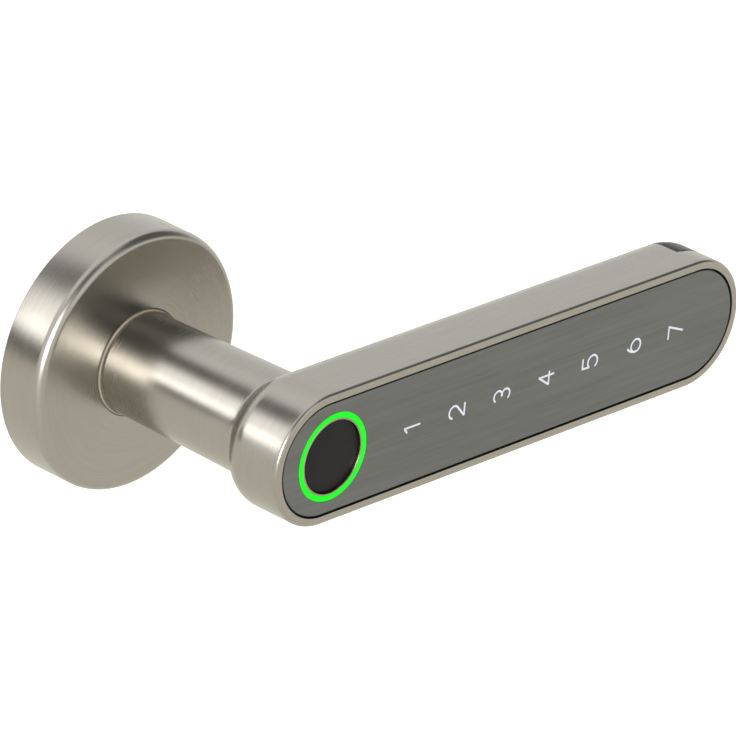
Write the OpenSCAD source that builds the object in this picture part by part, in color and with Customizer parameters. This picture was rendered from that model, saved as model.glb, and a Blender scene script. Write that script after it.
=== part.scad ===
// Lever handle for a door, with a touch keypad and a fingerprint reader in the lever.
// This is the outside half: round rose, sprung neck, lever, and the clutch that drives the spindle.
// +X runs along the lever, +Y goes into the door and +Z is up. The origin is on the
// spindle's axis in the plane of the door's face. Lengths are in millimetres.

/* [Lever] */
// Height of the lever, which is also the width of its round ends
lever_h = 30.5; // [29:0.5:40]
// Length from the neck's axis to the free end
lever_reach = 129.5; // [128:0.5:190]
// Length from the neck's axis back to the near end
lever_heel = 17.5; // [16.5:0.5:26]
// Depth of the lever from its front face to its back
lever_t = 17.6; // [17.6:0.1:24]
// Rounding of the lever's back edge
lever_back_r = 6.5; // [3:0.5:8]
// Rounding of the lever's front edge
lever_front_r = 0.8; // [0.3:0.1:1.5]
// Distance from the door to the lever's front face
projection = 70.7; // [66:0.1:95]
// Wall of the lever's hollow shell
shell_wall = 2.2; // [1.8:0.1:3]

/* [Face panel] */
// Width of the metal rim round the face panel
rim_w = 2; // [1.2:0.1:3]
// Width of the open line between rim and panel
panel_gap = 0.5; // [0.2:0.05:0.8]
// Thickness of the face panel
panel_t = 1.6; // [1:0.1:2.4]
// Depth of the panel's face behind the rim
panel_recess = 0.2; // [0:0.05:0.5]

/* [Digits] */
// Number of digits on the keypad
digit_count = 7; // [1:1:7]
// Distance from the neck's axis to the first digit
digit_x = 24.2; // [22:0.1:30]
// Distance from one digit to the next
digit_pitch = 14.1; // [8:0.1:14.5]
// Height of a digit
digit_h = 5; // [3:0.1:8]
// Width of a digit
digit_w = 3.2; // [2:0.1:5]
// Width of a digit's line
digit_line = 0.45; // [0.3:0.05:0.8]
// Depth of the digits' inlay in the panel
inlay_t = 0.4; // [0.2:0.05:0.8]

/* [Fingerprint reader] */
// Diameter of the sensing disc
sensor_d = 16.8; // [12:0.1:17]
// Depth of the sensing disc behind the panel's face
sensor_recess = 0.8; // [0.2:0.1:1.4]
// Width of the metal bezel round the disc
bezel_w = 0.45; // [0.4:0.05:1.2]
// Width of the lit ring round the bezel
ring_w = 1.3; // [1:0.05:2.5]

/* [Neck] */
// Diameter of the neck where it leaves the rose
neck_d = 23.4; // [22.6:0.1:25]
// Diameter of the neck where it meets the lever
neck_top_d = 24.8; // [23:0.1:29]
// Diameter of the bearing journal inside the rose
journal_d = 21; // [20:0.1:21.4]
// Bore of the neck, which houses the clutch and its motor
neck_bore_d = 17.2; // [17.2:0.1:17.6]
// Angle that the lever turns down to work the lock
lever_travel = 45; // [30:1:45]

/* [Rose] */
// Diameter of the rose
rose_d = 60; // [54:0.5:80]
// Thickness of the rose
rose_t = 12; // [12:0.1:16]
// Wall of the rose cover
rose_wall = 1.5; // [1:0.1:2]
// Rounding of the rose's front edge
rose_edge_r = 2.2; // [0.5:0.1:3]
// Width of the bush's collar that shows round the neck
collar_w = 0.5; // [0.5:0.05:1]
// How far the collar stands proud of the rose
collar_proud = 0.3; // [0.3:0.1:1]

/* [Fixing] */
// Distance between the two bolt-through posts
post_spacing = 38; // [36:0.5:42]
// Diameter of a bolt-through post
post_d = 7; // [6:0.5:8]
// Diameter of the tapping hole in a post
post_hole_d = 3.3; // [2.5:0.1:4.2]
// Length of a post behind the door's face
post_len = 6; // [5:1:40]
// Width across the flats of the square spindle that the hub takes
spindle_w = 8; // [7:0.5:8]

/* [Battery] */
// Diameter of a cell
cell_d = 10.5; // [10.5:0.1:10.5]
// Length of a cell with its nub
cell_len = 44.5; // [44.5:0.1:44.5]
// Depth of the battery cap's edge behind the lever's front face
cap_drop = 6.3; // [6.2:0.1:8]

/* [Clearances] */
// Radial clearance of a journal or slider that runs in a bore
run_gap = 0.05; // [0.02:0.01:0.1]
// Gap between parts that move past each other
part_gap = 0.3; // [0.2:0.05:0.4]
// Gap round a part that is dropped in and fixed
fit_gap = 0.1; // [0.05:0.01:0.15]

/* [Hidden] */
$fn = 64;
end_r = lever_h / 2;
heel_x = end_r - lever_heel;      // centre of the near end's arc
tip_x = lever_reach - end_r;      // centre of the free end's arc
front_z = projection;             // heights out from the door
back_z = projection - lever_t;
pocket_r = end_r - rim_w;
panel_r = pocket_r - panel_gap;
panel_z = front_z - panel_recess;
panel_back_z = panel_z - panel_t;
sheet_t = 0.5;                    // light guide behind the panel
board_t = 1;
led_room = 0.9;                   // room for the backlight between board and light guide
board_z = panel_back_z - sheet_t - led_room - board_t;
pad_size = [11, 18];              // widest touch pad, and the window in it for its light
pad_window = 5;
pad_t = 0.15;
led_size = [1.6, 3.2, 0.65];
ring_led_size = [1, 1.6, 0.6];
ring_led_count = 6;
frame_wall = 1.5;
frame_r = pocket_r - fit_gap;
frame_z = board_z - 0.2;

cap_x = tip_x + 1;                // plane where the battery cap starts
cap_x0 = cap_x + part_gap;
cap_z = front_z - cap_drop;
cap_top_z = cap_z - part_gap;
floor_z = cap_z + 1.6;            // floor over the battery cap
cavity_z = back_z + shell_wall;
cavity_r = end_r - shell_wall;
cavity_back_r = lever_back_r - shell_wall;
cell_r = cell_d / 2;
cell_nub_r = 1.9;
cell_nub_len = 0.8;
cell_gap = 0.05;                  // between the two cells of a row
cell_y = cell_r + 0.15;
cell_z = cavity_z + 0.15 + cell_r;
plug_len = 2.6;
plug_x = cap_x - plug_len;
plate_t = 0.4;
cell_x1 = plug_x - plate_t - 0.2;
cell_x0 = cell_x1 - 2 * cell_len - cell_gap;
magnet_x = tip_x + 5.5;
magnet_y = 7;
magnet_r = 2;
body_magnet_t = 1;
cap_magnet_t = 1.5;
body_magnet_z = floor_z - 0.1 - body_magnet_t;
tray_wall = 1.2;
tray_x = cell_x0 - 3.4;
tray_top_z = cell_z + 3.2;
seal_w = 1;
seal_depth = 0.9;
coil_wire_r = 0.3;                // conical contact spring behind a cell
coil_r = 3.2;
coil_rise = 0.4;
coil_taper = 0.35;
coil_turns = 4;
coil_plate_r = 3.8;

sensor_r = sensor_d / 2;
bezel_r = sensor_r + bezel_w;
ring_r = bezel_r + ring_w;
sensor_z = panel_z - sensor_recess;
sensor_board_z = sensor_z - 4;
main_board_z = cavity_z + 4.8;
chips_z = main_board_z + board_t;
// Each chip on the main board: its corner, its two widths and its height
chips = [[-3.5, -3.5, 7, 7, 1], [-9, 3, 4, 4, 0.8], [-9.5, -6.5, 5, 3, 1.2], [5.5, -7, 3, 5, 1.4]];
buzzer = [7, 4, 1.6, 1.6];        // place, radius and height
link_size = [3.5, 2.5];

neck_r = neck_d / 2;
journal_r = journal_d / 2;
bore_r = neck_bore_d / 2;
bush_in_r = journal_r + run_gap;
collar_r = neck_r + collar_w;
cover_hole_r = collar_r + fit_gap;
collar_z = rose_t + collar_proud;
neck_z = collar_z + part_gap;     // shoulder where the journal starts
rose_r = rose_d / 2;
cover_z = rose_t - rose_wall;     // inside face of the cover's front
plate_r = rose_r - rose_wall - part_gap;
base_t = 2.2;
rim_wall = 2;
rim_z = cover_z - 1.2;            // top of the mounting plate's rim
bush_flange_z = cover_z - 0.2;
hub_back_z = 5.2;                 // back end of the bearing hub
carrier_z = base_t + 0.5;
carrier_t = hub_back_z - 0.4 - carrier_z;
carrier_r = 17.2;
circlip_t = 1;
circlip_z = carrier_z - 0.2 - circlip_t;
circlip_r = journal_r + 1.8;
circlip_open = 4;
groove_r = journal_r - 0.6;
plate_hole_r = circlip_r + 1;
journal_end_z = 0.5;
lug_w = 5;
stop_r = 16;                      // middle of the stop tab's ring
stop_tab_w = 1.8;
stop_tab_angle = 16;
stop_start = 180 + lever_travel / 2;
stop_margin = 1.3;                // degrees left at each end of the slot

hub_r = bore_r - run_gap;
hub_z0 = 1.8;
hub_z1 = 11;
hub_ring_r = bore_r + 0.5;
hub_ring_z = 1;
hub_ring_t = 0.5;
hub_ring_open = 3;
socket_depth = 5.4;
slot_count = 8;
slot_w = 2.4;
slot_depth = 3;
dog_w = 1.8;
dog_in_r = 5;
slider_r = 7;
slider_len = 6;
slider_travel = 3;
slider_z = hub_z1 + 0.5 + slot_depth;   // back of the slider's body at rest
key_w = 2.2;                      // key that stops the slider turning
screw_r = 1.5;
thread_pitch = 1;
thread_depth = 0.25;
holder_z0 = slider_z - 1.5;
holder_wall_z = slider_z + slider_len + 3.5;
motor_z = holder_wall_z + 2;
motor_r = 6;
motor_len = 21;
motor_boss = [2.5, 0.8];          // radius and height of the boss on the motor's end
lead_wire_r = 0.55;

plate_screw_r = 1.25;
screw_head_r = 2.3;
screw_head_h = 1.1;
screw_hex_r = 0.85;
screw_slack = 0.05;
grub_z = base_t + 2.6;            // height of the cover's grub screw, and where it starts
grub_y = -plate_r + rim_wall;
grub_hex_r = 0.75;
standoff_d = 6;
standoff_r = plate_r - rim_wall - standoff_d / 2 - 0.5;
standoff_angles = [350, 110, 230];
bearing_z = hub_back_z + 2.2;     // back face of the bearing plate's disc
bearing_t = 2;
wire_r = 0.75;
spring_r = carrier_r + 0.4 + wire_r + 0.3;
spring_turns = 2.25;
spring_leg_in = 2.2;              // how far the two legs curl in and out
spring_leg_out = 1.6;
spring_start = standoff_angles[1] - 10 - 360 * (spring_turns - 2);  // angle of the inner leg
spring_notch_r = 15.4;
spring_sides = 8;
spring_rings = 64;

nickel = [0.66, 0.63, 0.58];
steel = [0.62, 0.63, 0.64];
zinc = [0.55, 0.56, 0.57];
black_plastic = [0.06, 0.06, 0.06];
dark_metal = [0.36, 0.37, 0.36];
board_green = [0.05, 0.28, 0.15];

// Every piece is drawn with x along the lever, y up and z out from the door.
// This turns it into the row's frame.
module on_door() { rotate([90, 0, 0]) children(); }

// A slot-shaped outline with its end arcs centred at x0 and x1.
module stadium(r, x0, x1) {
    translate([x0, 0]) circle(r);
    translate([x1, 0]) circle(r);
    translate([x0, -r]) square([x1 - x0, 2 * r]);
}

module slab(z0, z1) { translate([0, 0, z0]) linear_extrude(z1 - z0) children(); }

module ring(r_out, r_in, z0, z1) {
    translate([0, 0, z0]) difference() {
        cylinder(r = r_out, h = z1 - z0);
        translate([0, 0, -1]) cylinder(r = r_in, h = z1 - z0 + 2);
    }
}

// Cross-section of a bar, from its axis outwards, with round back and front edges.
module half_section(r, z0, z1, back_r, front_r) {
    translate([0, z0]) square([r - back_r, z1 - z0]);
    translate([0, z0 + back_r]) square([r, z1 - z0 - back_r - front_r]);
    translate([r - back_r, z0 + back_r]) circle(back_r);
    if (front_r > 0) {
        translate([0, z1 - front_r - 0.5]) square([r - front_r, front_r + 0.5]);
        translate([r - front_r, z1 - front_r]) circle(front_r);
    }
}

module full_section(r, z0, z1, back_r, front_r) {
    half_section(r, z0, z1, back_r, front_r);
    mirror([1, 0]) half_section(r, z0, z1, back_r, front_r);
}

module clean_half(r, z0, z1, back_r, front_r) {
    intersection() {
        half_section(r, z0, z1, back_r, front_r);
        translate([0, z0 - 1]) square([r + 1, z1 - z0 + 2]);
    }
}

// Middle stretch of a bar, from x0 to x1.
module straight_bar(r, x0, x1, z0, z1, back_r, front_r) {
    translate([x0, 0, 0]) rotate([90, 0, 90]) linear_extrude(x1 - x0)
        full_section(r, z0, z1, back_r, front_r);
}

// Half-round end of a bar; side is 1 for the free end and -1 for the near end.
module round_end(side, r, x, z0, z1, back_r, front_r) {
    translate([x, 0, 0]) rotate(-90 * side) rotate_extrude(angle = 180)
        clean_half(r, z0, z1, back_r, front_r);
}

// ---- digits ----

// Points on an arc round c, from angle a0 to angle a1.
function arc_path(c, r, a0, a1, n = 18) =
    [for (i = [0:n]) let (a = a0 + (a1 - a0) * i / n) c + r * [cos(a), sin(a)]];

function side_of(p, i) =
    let (a = p[max(i - 1, 0)], b = p[min(i + 1, len(p) - 1)], d = (b - a) / norm(b - a))
    [-d.y, d.x];

// A pen stroke of width w along a path of points.
module stroke(p, w) {
    last = len(p) - 1;
    polygon(concat(
        [for (i = [0:last]) p[i] + w / 2 * side_of(p, i)],
        [for (i = [last:-1:0]) p[i] - w / 2 * side_of(p, i)]
    ));
}

// One digit, centred and upright, in strokes of width w.
module digit_shape(n, w) {
    hh = digit_h / 2;
    hw = digit_w / 2;
    e = w / 2;
    if (n == 1) {
        stroke([[0.35, -hh], [0.35, hh]], w);
        stroke([[-0.85, hh - 1.1], [0.4, hh - 0.1]], w);
    }
    if (n == 2) {
        r = hw * 0.92;
        c = [0, hh - r];
        stroke(concat(arc_path(c, r, 168, -40), [[-hw + 0.1, -hh + e]]), w);
        stroke([[-hw, -hh + e], [hw, -hh + e]], w);
    }
    if (n == 3) {
        r = hh / 2 + 0.05;
        stroke(arc_path([-0.15, hh - r], r, 148, -100), w);
        stroke(arc_path([-0.15, r - hh], r, 100, -148), w);
    }
    if (n == 4) {
        stroke([[0.6, -hh], [0.6, hh]], w);
        stroke([[0.65, hh - 0.15], [-hw - 0.05, -0.95]], w);
        stroke([[-hw - 0.1, -0.9], [hw, -0.9]], w);
    }
    if (n == 5) {
        r = hh * 0.62;
        stroke([[-hw * 0.75, hh - e], [hw * 0.85, hh - e]], w);
        stroke([[-hw * 0.66, hh], [-hw * 0.76, -0.05]], w);
        stroke(arc_path([-0.05, r - hh], r, 140, -148), w);
    }
    if (n == 6) {
        r = hh * 0.61;
        c = [0, r - hh];
        difference() {
            polygon(arc_path(c, r + e, 0, 350, 35));
            polygon(arc_path(c, r - e, 0, 350, 35));
        }
        stroke(concat(arc_path(c + [r * 1.3, 0], r * 2.28, 186, 128, 8)), w);
    }
    if (n == 7) {
        stroke([[-hw, hh - e], [hw + 0.05, hh - e]], w);
        stroke([[hw - 0.1, hh - e / 2], [-0.45, -hh]], w);
    }
}

// All the digits, turned so that they read from the free end.
module digits(w) {
    for (i = [1:digit_count]) {
        translate([digit_x + (i - 1) * digit_pitch, 0]) rotate(90) digit_shape(i, w);
    }
}

// ---- rose ----

module rose_cover() {
    color(nickel) on_door() difference() {
        rotate_extrude() {
            square([rose_r, rose_t - rose_edge_r]);
            square([rose_r - rose_edge_r, rose_t]);
            intersection() {
                translate([rose_r - rose_edge_r, rose_t - rose_edge_r]) circle(rose_edge_r);
                translate([0, 1]) square([rose_r + 1, rose_t]);
            }
        }
        translate([0, 0, -1]) cylinder(r = rose_r - rose_wall, h = cover_z - rose_edge_r / 2 + 1);
        translate([0, 0, 1]) cylinder(r = rose_r - rose_wall - rose_edge_r / 2, h = cover_z - 1);
        cylinder(r = cover_hole_r, h = rose_t + 1);
        grub_hole(plate_screw_r + fit_gap);
    }
}

// Radial hole low on the rose for the grub screw that holds the cover.
module grub_hole(r) {
    translate([0, grub_y + 1, grub_z]) rotate([90, 0, 0]) cylinder(r = r, h = rim_wall + 6);
}

module mounting_plate() {
    color(zinc) on_door() difference() {
        union() {
            rotate_extrude() polygon([
                [plate_hole_r, 0], [plate_r, 0], [plate_r, rim_z], [plate_r - rim_wall, rim_z],
                [plate_r - rim_wall, base_t], [plate_hole_r, base_t]
            ]);
            for (a = standoff_angles) rotate(a) translate([standoff_r, 0, base_t - 0.5])
                cylinder(d = standoff_d, h = bearing_z - base_t + 0.5);
        }
        for (a = standoff_angles) rotate(a) translate([standoff_r, 0, 1])
            cylinder(r = plate_screw_r, h = bearing_z);
        for (s = [-1, 1]) translate([0, s * post_spacing / 2, -1])
            cylinder(r = post_d / 2, h = base_t + 2);
        grub_hole(plate_screw_r);
        stop_slot();
    }
}

// Curved slot whose two ends stop the lever.
module stop_slot() {
    half = stop_tab_angle / 2 + stop_margin;
    first = stop_start - lever_travel - half;
    rotate(first) translate([0, 0, -1]) rotate_extrude(angle = lever_travel + 2 * half)
        translate([stop_r - stop_tab_w / 2 - part_gap, 0]) square([stop_tab_w + 2 * part_gap, base_t + 2]);
}

module bearing_plate() {
    color(zinc) on_door() difference() {
        union() {
            slab(bearing_z, bearing_z + bearing_t) circle(plate_r - rim_wall - fit_gap);
            slab(hub_back_z, bush_flange_z) circle(collar_r + 1.8);
        }
        translate([0, 0, 1]) cylinder(r = collar_r - 0.4, h = rose_t);
        for (a = standoff_angles) rotate(a) translate([standoff_r, 0, 0]) {
            cylinder(r = plate_screw_r + fit_gap, h = rose_t);
            translate([0, 0, bearing_z + bearing_t - screw_head_h - screw_slack])
                cylinder(r1 = plate_screw_r + fit_gap, r2 = screw_head_r + part_gap, h = 1.25);
        }
    }
}

module plate_screws() {
    color(steel) on_door() for (a = standoff_angles) rotate(a) translate([standoff_r, 0, 0]) difference() {
        union() {
            slab(base_t - 0.8, bearing_z + 1) circle(plate_screw_r - screw_slack);
            translate([0, 0, bearing_z + bearing_t - screw_head_h - screw_slack])
                cylinder(r1 = plate_screw_r - screw_slack, r2 = screw_head_r, h = screw_head_h);
        }
        translate([0, 0, bearing_z + bearing_t - 1.05]) cylinder(r = screw_hex_r, h = 2, $fn = 6);
    }
}

module neck_bush() {
    color([0.72, 0.70, 0.66]) on_door() difference() {
        union() {
            slab(hub_back_z, bush_flange_z + 0.1) circle(collar_r - 0.4);
            slab(bush_flange_z, collar_z) circle(collar_r);
        }
        translate([0, 0, 1]) cylinder(r = bush_in_r, h = rose_t + 2);
        translate([0, 0, collar_z - 0.4]) cylinder(r = neck_r + part_gap / 2, h = 2);
    }
}

// A torsion spring's centre line: both legs curl away from the coil.
function spring_point(t) =
    let (a = 360 * spring_turns * t + spring_start,
         inward = t < 0.05 ? (0.05 - t) / 0.05 : 0,
         outward = t > 0.96 ? (t - 0.96) / 0.04 : 0,
         r = spring_r - spring_leg_in * inward + spring_leg_out * outward,
         z = base_t + 0.25 + wire_r + (bearing_z - base_t - 0.5 - 2 * wire_r) * t)
    [r * cos(a), r * sin(a), z, a];

module return_spring() {
    pts = [for (i = [0:spring_rings]) spring_point(i / spring_rings)];
    verts = [for (p = pts) for (k = [0:spring_sides - 1])
        let (b = 360 * k / spring_sides)
        [p.x + wire_r * cos(b) * cos(p[3]), p.y + wire_r * cos(b) * sin(p[3]), p.z + wire_r * sin(b)]];
    n = spring_sides;
    sides = [for (i = [0:spring_rings - 1]) for (k = [0:n - 1])
        let (j = (k + 1) % n) [i * n + k, (i + 1) * n + k, (i + 1) * n + j, i * n + j]];
    caps = [[for (k = [0:n - 1]) k], [for (k = [n - 1:-1:0]) spring_rings * n + k]];
    color(steel) on_door() polyhedron(verts, concat(sides, caps));
}

module fixing_posts() {
    color(steel) on_door() for (s = [-1, 1]) translate([0, s * post_spacing / 2, 0]) difference() {
        slab(-post_len, base_t) circle(post_d / 2);
        translate([0, 0, -post_len - 1]) cylinder(r = post_hole_d / 2, h = post_len + 2);
    }
}

module cover_grub_screw() {
    color(steel) on_door() difference() {
        translate([0, grub_y + 0.4, grub_z]) rotate([90, 0, 0])
            cylinder(r = plate_screw_r - screw_slack, h = rim_wall + 1.2);
        translate([0, grub_y - rim_wall + 0.4, grub_z]) rotate([90, 0, 0])
            cylinder(r = grub_hex_r, h = rim_wall, $fn = 6);
    }
}

// ---- neck and lever ----

module lever_body() {
    color(nickel) on_door() difference() {
        union() {
            straight_bar(end_r, heel_x, tip_x, back_z, front_z, lever_back_r, lever_front_r);
            round_end(-1, end_r, heel_x, back_z, front_z, lever_back_r, lever_front_r);
            round_end(1, end_r, tip_x, back_z, front_z, lever_back_r, lever_front_r);
            rotate_extrude() polygon([
                [0, journal_end_z], [journal_r, journal_end_z], [journal_r, neck_z], [neck_r, neck_z],
                [neck_top_d / 2, back_z - 1], [neck_top_d / 2, back_z + 3], [0, back_z + 3]
            ]);
        }
        slab(floor_z, front_z + 1) stadium(pocket_r, heel_x, tip_x);
        straight_bar(cavity_r, heel_x, cap_x + 1, cavity_z, floor_z + 0.5, cavity_back_r, 0);
        round_end(-1, cavity_r, heel_x, cavity_z, floor_z + 0.5, cavity_back_r, 0);
        translate([cap_x, -end_r - 1, back_z - 1]) cube([end_r + 2, lever_h + 2, cap_z - back_z + 1]);
        translate([0, 0, -1]) cylinder(r = bore_r, h = cavity_z + 2);
        ring(journal_r + 1, groove_r, circlip_z - fit_gap / 2, circlip_z + circlip_t + fit_gap / 2);
        slab(hub_ring_z - fit_gap, hub_ring_z + hub_ring_t + fit_gap) circle(hub_ring_r);
        translate([-journal_r - 1, -lug_w / 2, -1])
            cube([2 * journal_r + 2, lug_w, carrier_z + carrier_t + 1 + fit_gap]);
        magnets(body_magnet_z, body_magnet_t + 5, fit_gap);
    }
}

module neck_circlip() {
    color(steel) on_door() difference() {
        ring(circlip_r, groove_r + 0.02, circlip_z, circlip_z + circlip_t);
        translate([0, -circlip_open / 2, 0]) cube([circlip_r + 1, circlip_open, carrier_z]);
    }
}

// Ring keyed to the neck by two lugs. Its tab runs in the stop slot and the spring pushes it.
module spring_carrier() {
    color(steel) on_door() difference() {
        union() {
            difference() {
                slab(carrier_z, carrier_z + carrier_t) circle(carrier_r);
                translate([0, 0, 1]) cylinder(r = journal_r + fit_gap, h = 10);
            }
            for (s = [0, 180]) rotate(s) translate([bore_r + 0.1, -lug_w / 2 + fit_gap, carrier_z])
                cube([journal_r - bore_r + 1, lug_w - 2 * fit_gap, carrier_t]);
            rotate(stop_start - stop_tab_angle / 2) translate([0, 0, 0.6])
                rotate_extrude(angle = stop_tab_angle) translate([stop_r - stop_tab_w / 2, 0]) square([stop_tab_w, carrier_z - 0.1]);
        }
        rotate(spring_start - 5) translate([0, 0, carrier_z - 1]) rotate_extrude(angle = 38)
            translate([spring_notch_r, 0]) square([4, carrier_t + 2]);
    }
}

module hub_ring() {
    color(steel) on_door() difference() {
        ring(hub_ring_r - screw_slack, bore_r - 1.2, hub_ring_z, hub_ring_z + hub_ring_t);
        rotate(90) translate([0, -hub_ring_open / 2, 0]) cube([bore_r + 2, hub_ring_open, 3]);
    }
}

// ---- face ----

module face_panel() {
    color(dark_metal) on_door() difference() {
        slab(panel_back_z, panel_z) difference() {
            stadium(panel_r, heel_x, tip_x);
            circle(ring_r + fit_gap);
        }
        slab(panel_z - inlay_t, panel_z + 1) digits(digit_line + 0.04);
    }
}

// Clear digits let into the panel and lit from behind.
module digit_inlays() {
    color([0.93, 0.95, 0.96]) on_door() slab(panel_z - inlay_t + 0.02, panel_z) digits(digit_line);
}

module panel_frame() {
    color(black_plastic) on_door() difference() {
        slab(frame_z, panel_back_z) stadium(frame_r, heel_x, tip_x);
        translate([0, 0, -1]) slab(frame_z, panel_back_z + 2) stadium(frame_r - frame_wall, heel_x, tip_x);
    }
}

// Clear sheet that spreads the light behind the digits.
module light_guide() {
    x0 = ring_r + frame_wall + 1;
    color([0.93, 0.95, 0.96]) on_door() slab(panel_back_z - sheet_t, panel_back_z) intersection() {
        stadium(frame_r - frame_wall - fit_gap, heel_x, tip_x);
        translate([x0, -end_r]) square([lever_reach - x0, lever_h]);
    }
}

module keypad_board() {
    color(board_green) on_door() slab(board_z, board_z + board_t) intersection() {
        stadium(frame_r - frame_wall - fit_gap, heel_x, tip_x);
        translate([ring_r + 2, -end_r]) square([tip_x + 4 - ring_r, lever_h]);
    }
}

module touch_pads() {
    z = board_z + board_t;
    color([0.75, 0.5, 0.25]) on_door() for (i = [0:digit_count - 1]) slab(z, z + pad_t)
        translate([digit_x + i * digit_pitch, 0]) difference() {
            square([min(pad_size.x, digit_pitch - 1.5), pad_size.y], center = true);
            square(pad_window, center = true);
        }
}

module backlight_leds() {
    color([0.95, 0.95, 0.85]) on_door() for (i = [0:digit_count - 1])
        translate([digit_x + i * digit_pitch - led_size.x / 2, -led_size.y / 2, board_z + board_t])
            cube(led_size);
}

module light_ring() {
    color([0.1, 0.95, 0.12]) on_door() ring(ring_r, bezel_r + 0.02, panel_back_z - 0.3, panel_z + 0.05);
}

module sensor_bezel() {
    color([0.72, 0.62, 0.55]) on_door() ring(bezel_r, sensor_r + 0.02, sensor_board_z + 1, panel_z - 0.05);
}

module fingerprint_sensor() {
    color([0.12, 0.12, 0.13]) on_door() slab(sensor_board_z + 1.02, sensor_z) circle(sensor_r);
}

module sensor_board() {
    color(board_green) on_door() slab(sensor_board_z, sensor_board_z + board_t) circle(ring_r);
}

module ring_leds() {
    led_r = (bezel_r + ring_r) / 2;
    color([0.6, 0.95, 0.6]) on_door() for (i = [1:ring_led_count]) rotate(i * 360 / ring_led_count)
        translate([led_r - ring_led_size.x / 2, -ring_led_size.y / 2, sensor_board_z + board_t])
            cube(ring_led_size);
}

module main_board() {
    color(board_green) on_door() slab(main_board_z, main_board_z + board_t) intersection() {
        stadium(cavity_r - 0.4, heel_x, tip_x);
        translate([-lever_heel, -end_r]) square([lever_heel + tray_x - 1, lever_h]);
    }
}

module board_chips() {
    color([0.1, 0.1, 0.1]) on_door() {
        for (c = chips) translate([c[0], c[1], chips_z]) cube([c[2], c[3], c[4]]);
        translate([buzzer[0], buzzer[1], chips_z]) cylinder(r = buzzer[2], h = buzzer[3]);
    }
}

module board_link() {
    color([0.85, 0.83, 0.75]) on_door() translate([-8, -1, chips_z])
        cube([link_size.x, link_size.y, sensor_board_z - chips_z]);
}

// ---- battery ----

module battery_tray() {
    color(black_plastic) on_door() difference() {
        intersection() {
            straight_bar(cavity_r - 0.2, tray_x, cell_x1 - 1, cavity_z + 0.2, tray_top_z,
                         cavity_back_r - 0.2, 0);
            translate([tray_x, -end_r, cavity_z]) cube([cell_x1, lever_h, tray_top_z - cavity_z]);
        }
        for (s = [-1, 1]) translate([tray_x + tray_wall, s * cell_y, cell_z]) rotate([0, 90, 0]) {
            cylinder(r = cell_r + 0.1, h = lever_reach);
            translate([-lever_t, -cell_r - 0.1, 0]) cube([lever_t, cell_d + 0.2, lever_reach]);
        }
    }
}

module battery_cells() {
    color([0.16, 0.17, 0.2]) on_door() for (s = [-1, 1]) for (i = [0, 1]) {
        step = i * (cell_len + cell_gap);
        x = s > 0 ? cell_x0 + step : cell_x1 - step;
        translate([x, s * cell_y, cell_z]) rotate([0, s * 90, 0]) {
            cylinder(r = cell_r, h = cell_len - cell_nub_len);
            cylinder(r = cell_nub_r, h = cell_len);
        }
    }
}

module contact_springs() {
    color(steel) on_door() for (s = [-1, 1]) translate([tray_x + tray_wall, s * cell_y, cell_z])
        rotate([0, 90, 0]) {
            cylinder(r = coil_plate_r, h = plate_t);
            for (i = [0:coil_turns - 1]) translate([0, 0, plate_t + coil_wire_r / 2 + i * coil_rise])
                rotate_extrude() translate([coil_r - i * coil_taper, 0]) circle(coil_wire_r);
        }
}

module magnets(z, t, gap) {
    for (s = [-1, 1]) translate([magnet_x, s * magnet_y, z]) cylinder(r = magnet_r + gap, h = t);
}

module body_magnets() { color(steel) on_door() magnets(body_magnet_z, body_magnet_t, 0); }

module battery_cap() {
    pocket_w = 7.6;
    pocket_len = end_r - 7.5;
    color(black_plastic) on_door() difference() {
        union() {
            intersection() {
                union() {
                    round_end(1, end_r, tip_x, back_z, front_z, lever_back_r, lever_front_r);
                    straight_bar(end_r, tip_x - 1, tip_x + 0.5, back_z, front_z, lever_back_r, lever_front_r);
                }
                translate([cap_x0, -end_r - 1, back_z - 1])
                    cube([end_r + 2, lever_h + 2, cap_top_z - back_z + 1]);
            }
            straight_bar(cavity_r - part_gap, plug_x, cap_x0 + 0.5, cavity_z + part_gap, cap_top_z,
                         cavity_back_r - part_gap, 0);
        }
        translate([cap_x0 + 2, -pocket_w / 2, cavity_z]) cube([pocket_len, pocket_w, lever_t]);
        magnets(cap_top_z - cap_magnet_t - fit_gap, 3, fit_gap);
        seal_band(seal_depth, 0);
    }
}

// Band round the plug of the battery cap.
module seal_band(depth, gap) {
    r = cavity_r - part_gap;
    z0 = cavity_z + part_gap;
    back_rounding = cavity_back_r - part_gap - depth;
    translate([cap_x - 1.6 + gap, 0, 0]) rotate([90, 0, 90]) linear_extrude(seal_w - 2 * gap) difference() {
        translate([-end_r, z0 - 2]) square([lever_h, cap_top_z - z0 + 4]);
        full_section(r - depth, z0 + depth, cap_top_z - depth, back_rounding, 0);
    }
}

module cap_seal() {
    outset = part_gap - 0.15;
    color([0.1, 0.1, 0.11]) on_door() intersection() {
        seal_band(seal_depth, 0.05);
        straight_bar(cavity_r - outset, plug_x, cap_x, cavity_z + outset, cap_top_z,
                     cavity_back_r - outset, 0);
    }
}

module cap_contact_plate() {
    half_h = 3;
    color([0.75, 0.7, 0.5]) on_door() translate([plug_x - plate_t, -cell_y - half_h, cell_z - half_h])
        cube([plate_t, 2 * (cell_y + half_h), 2 * half_h]);
}

module cap_magnets() {
    color(steel) on_door() magnets(cap_top_z - cap_magnet_t - fit_gap, cap_magnet_t, 0);
}

// ---- clutch ----

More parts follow.
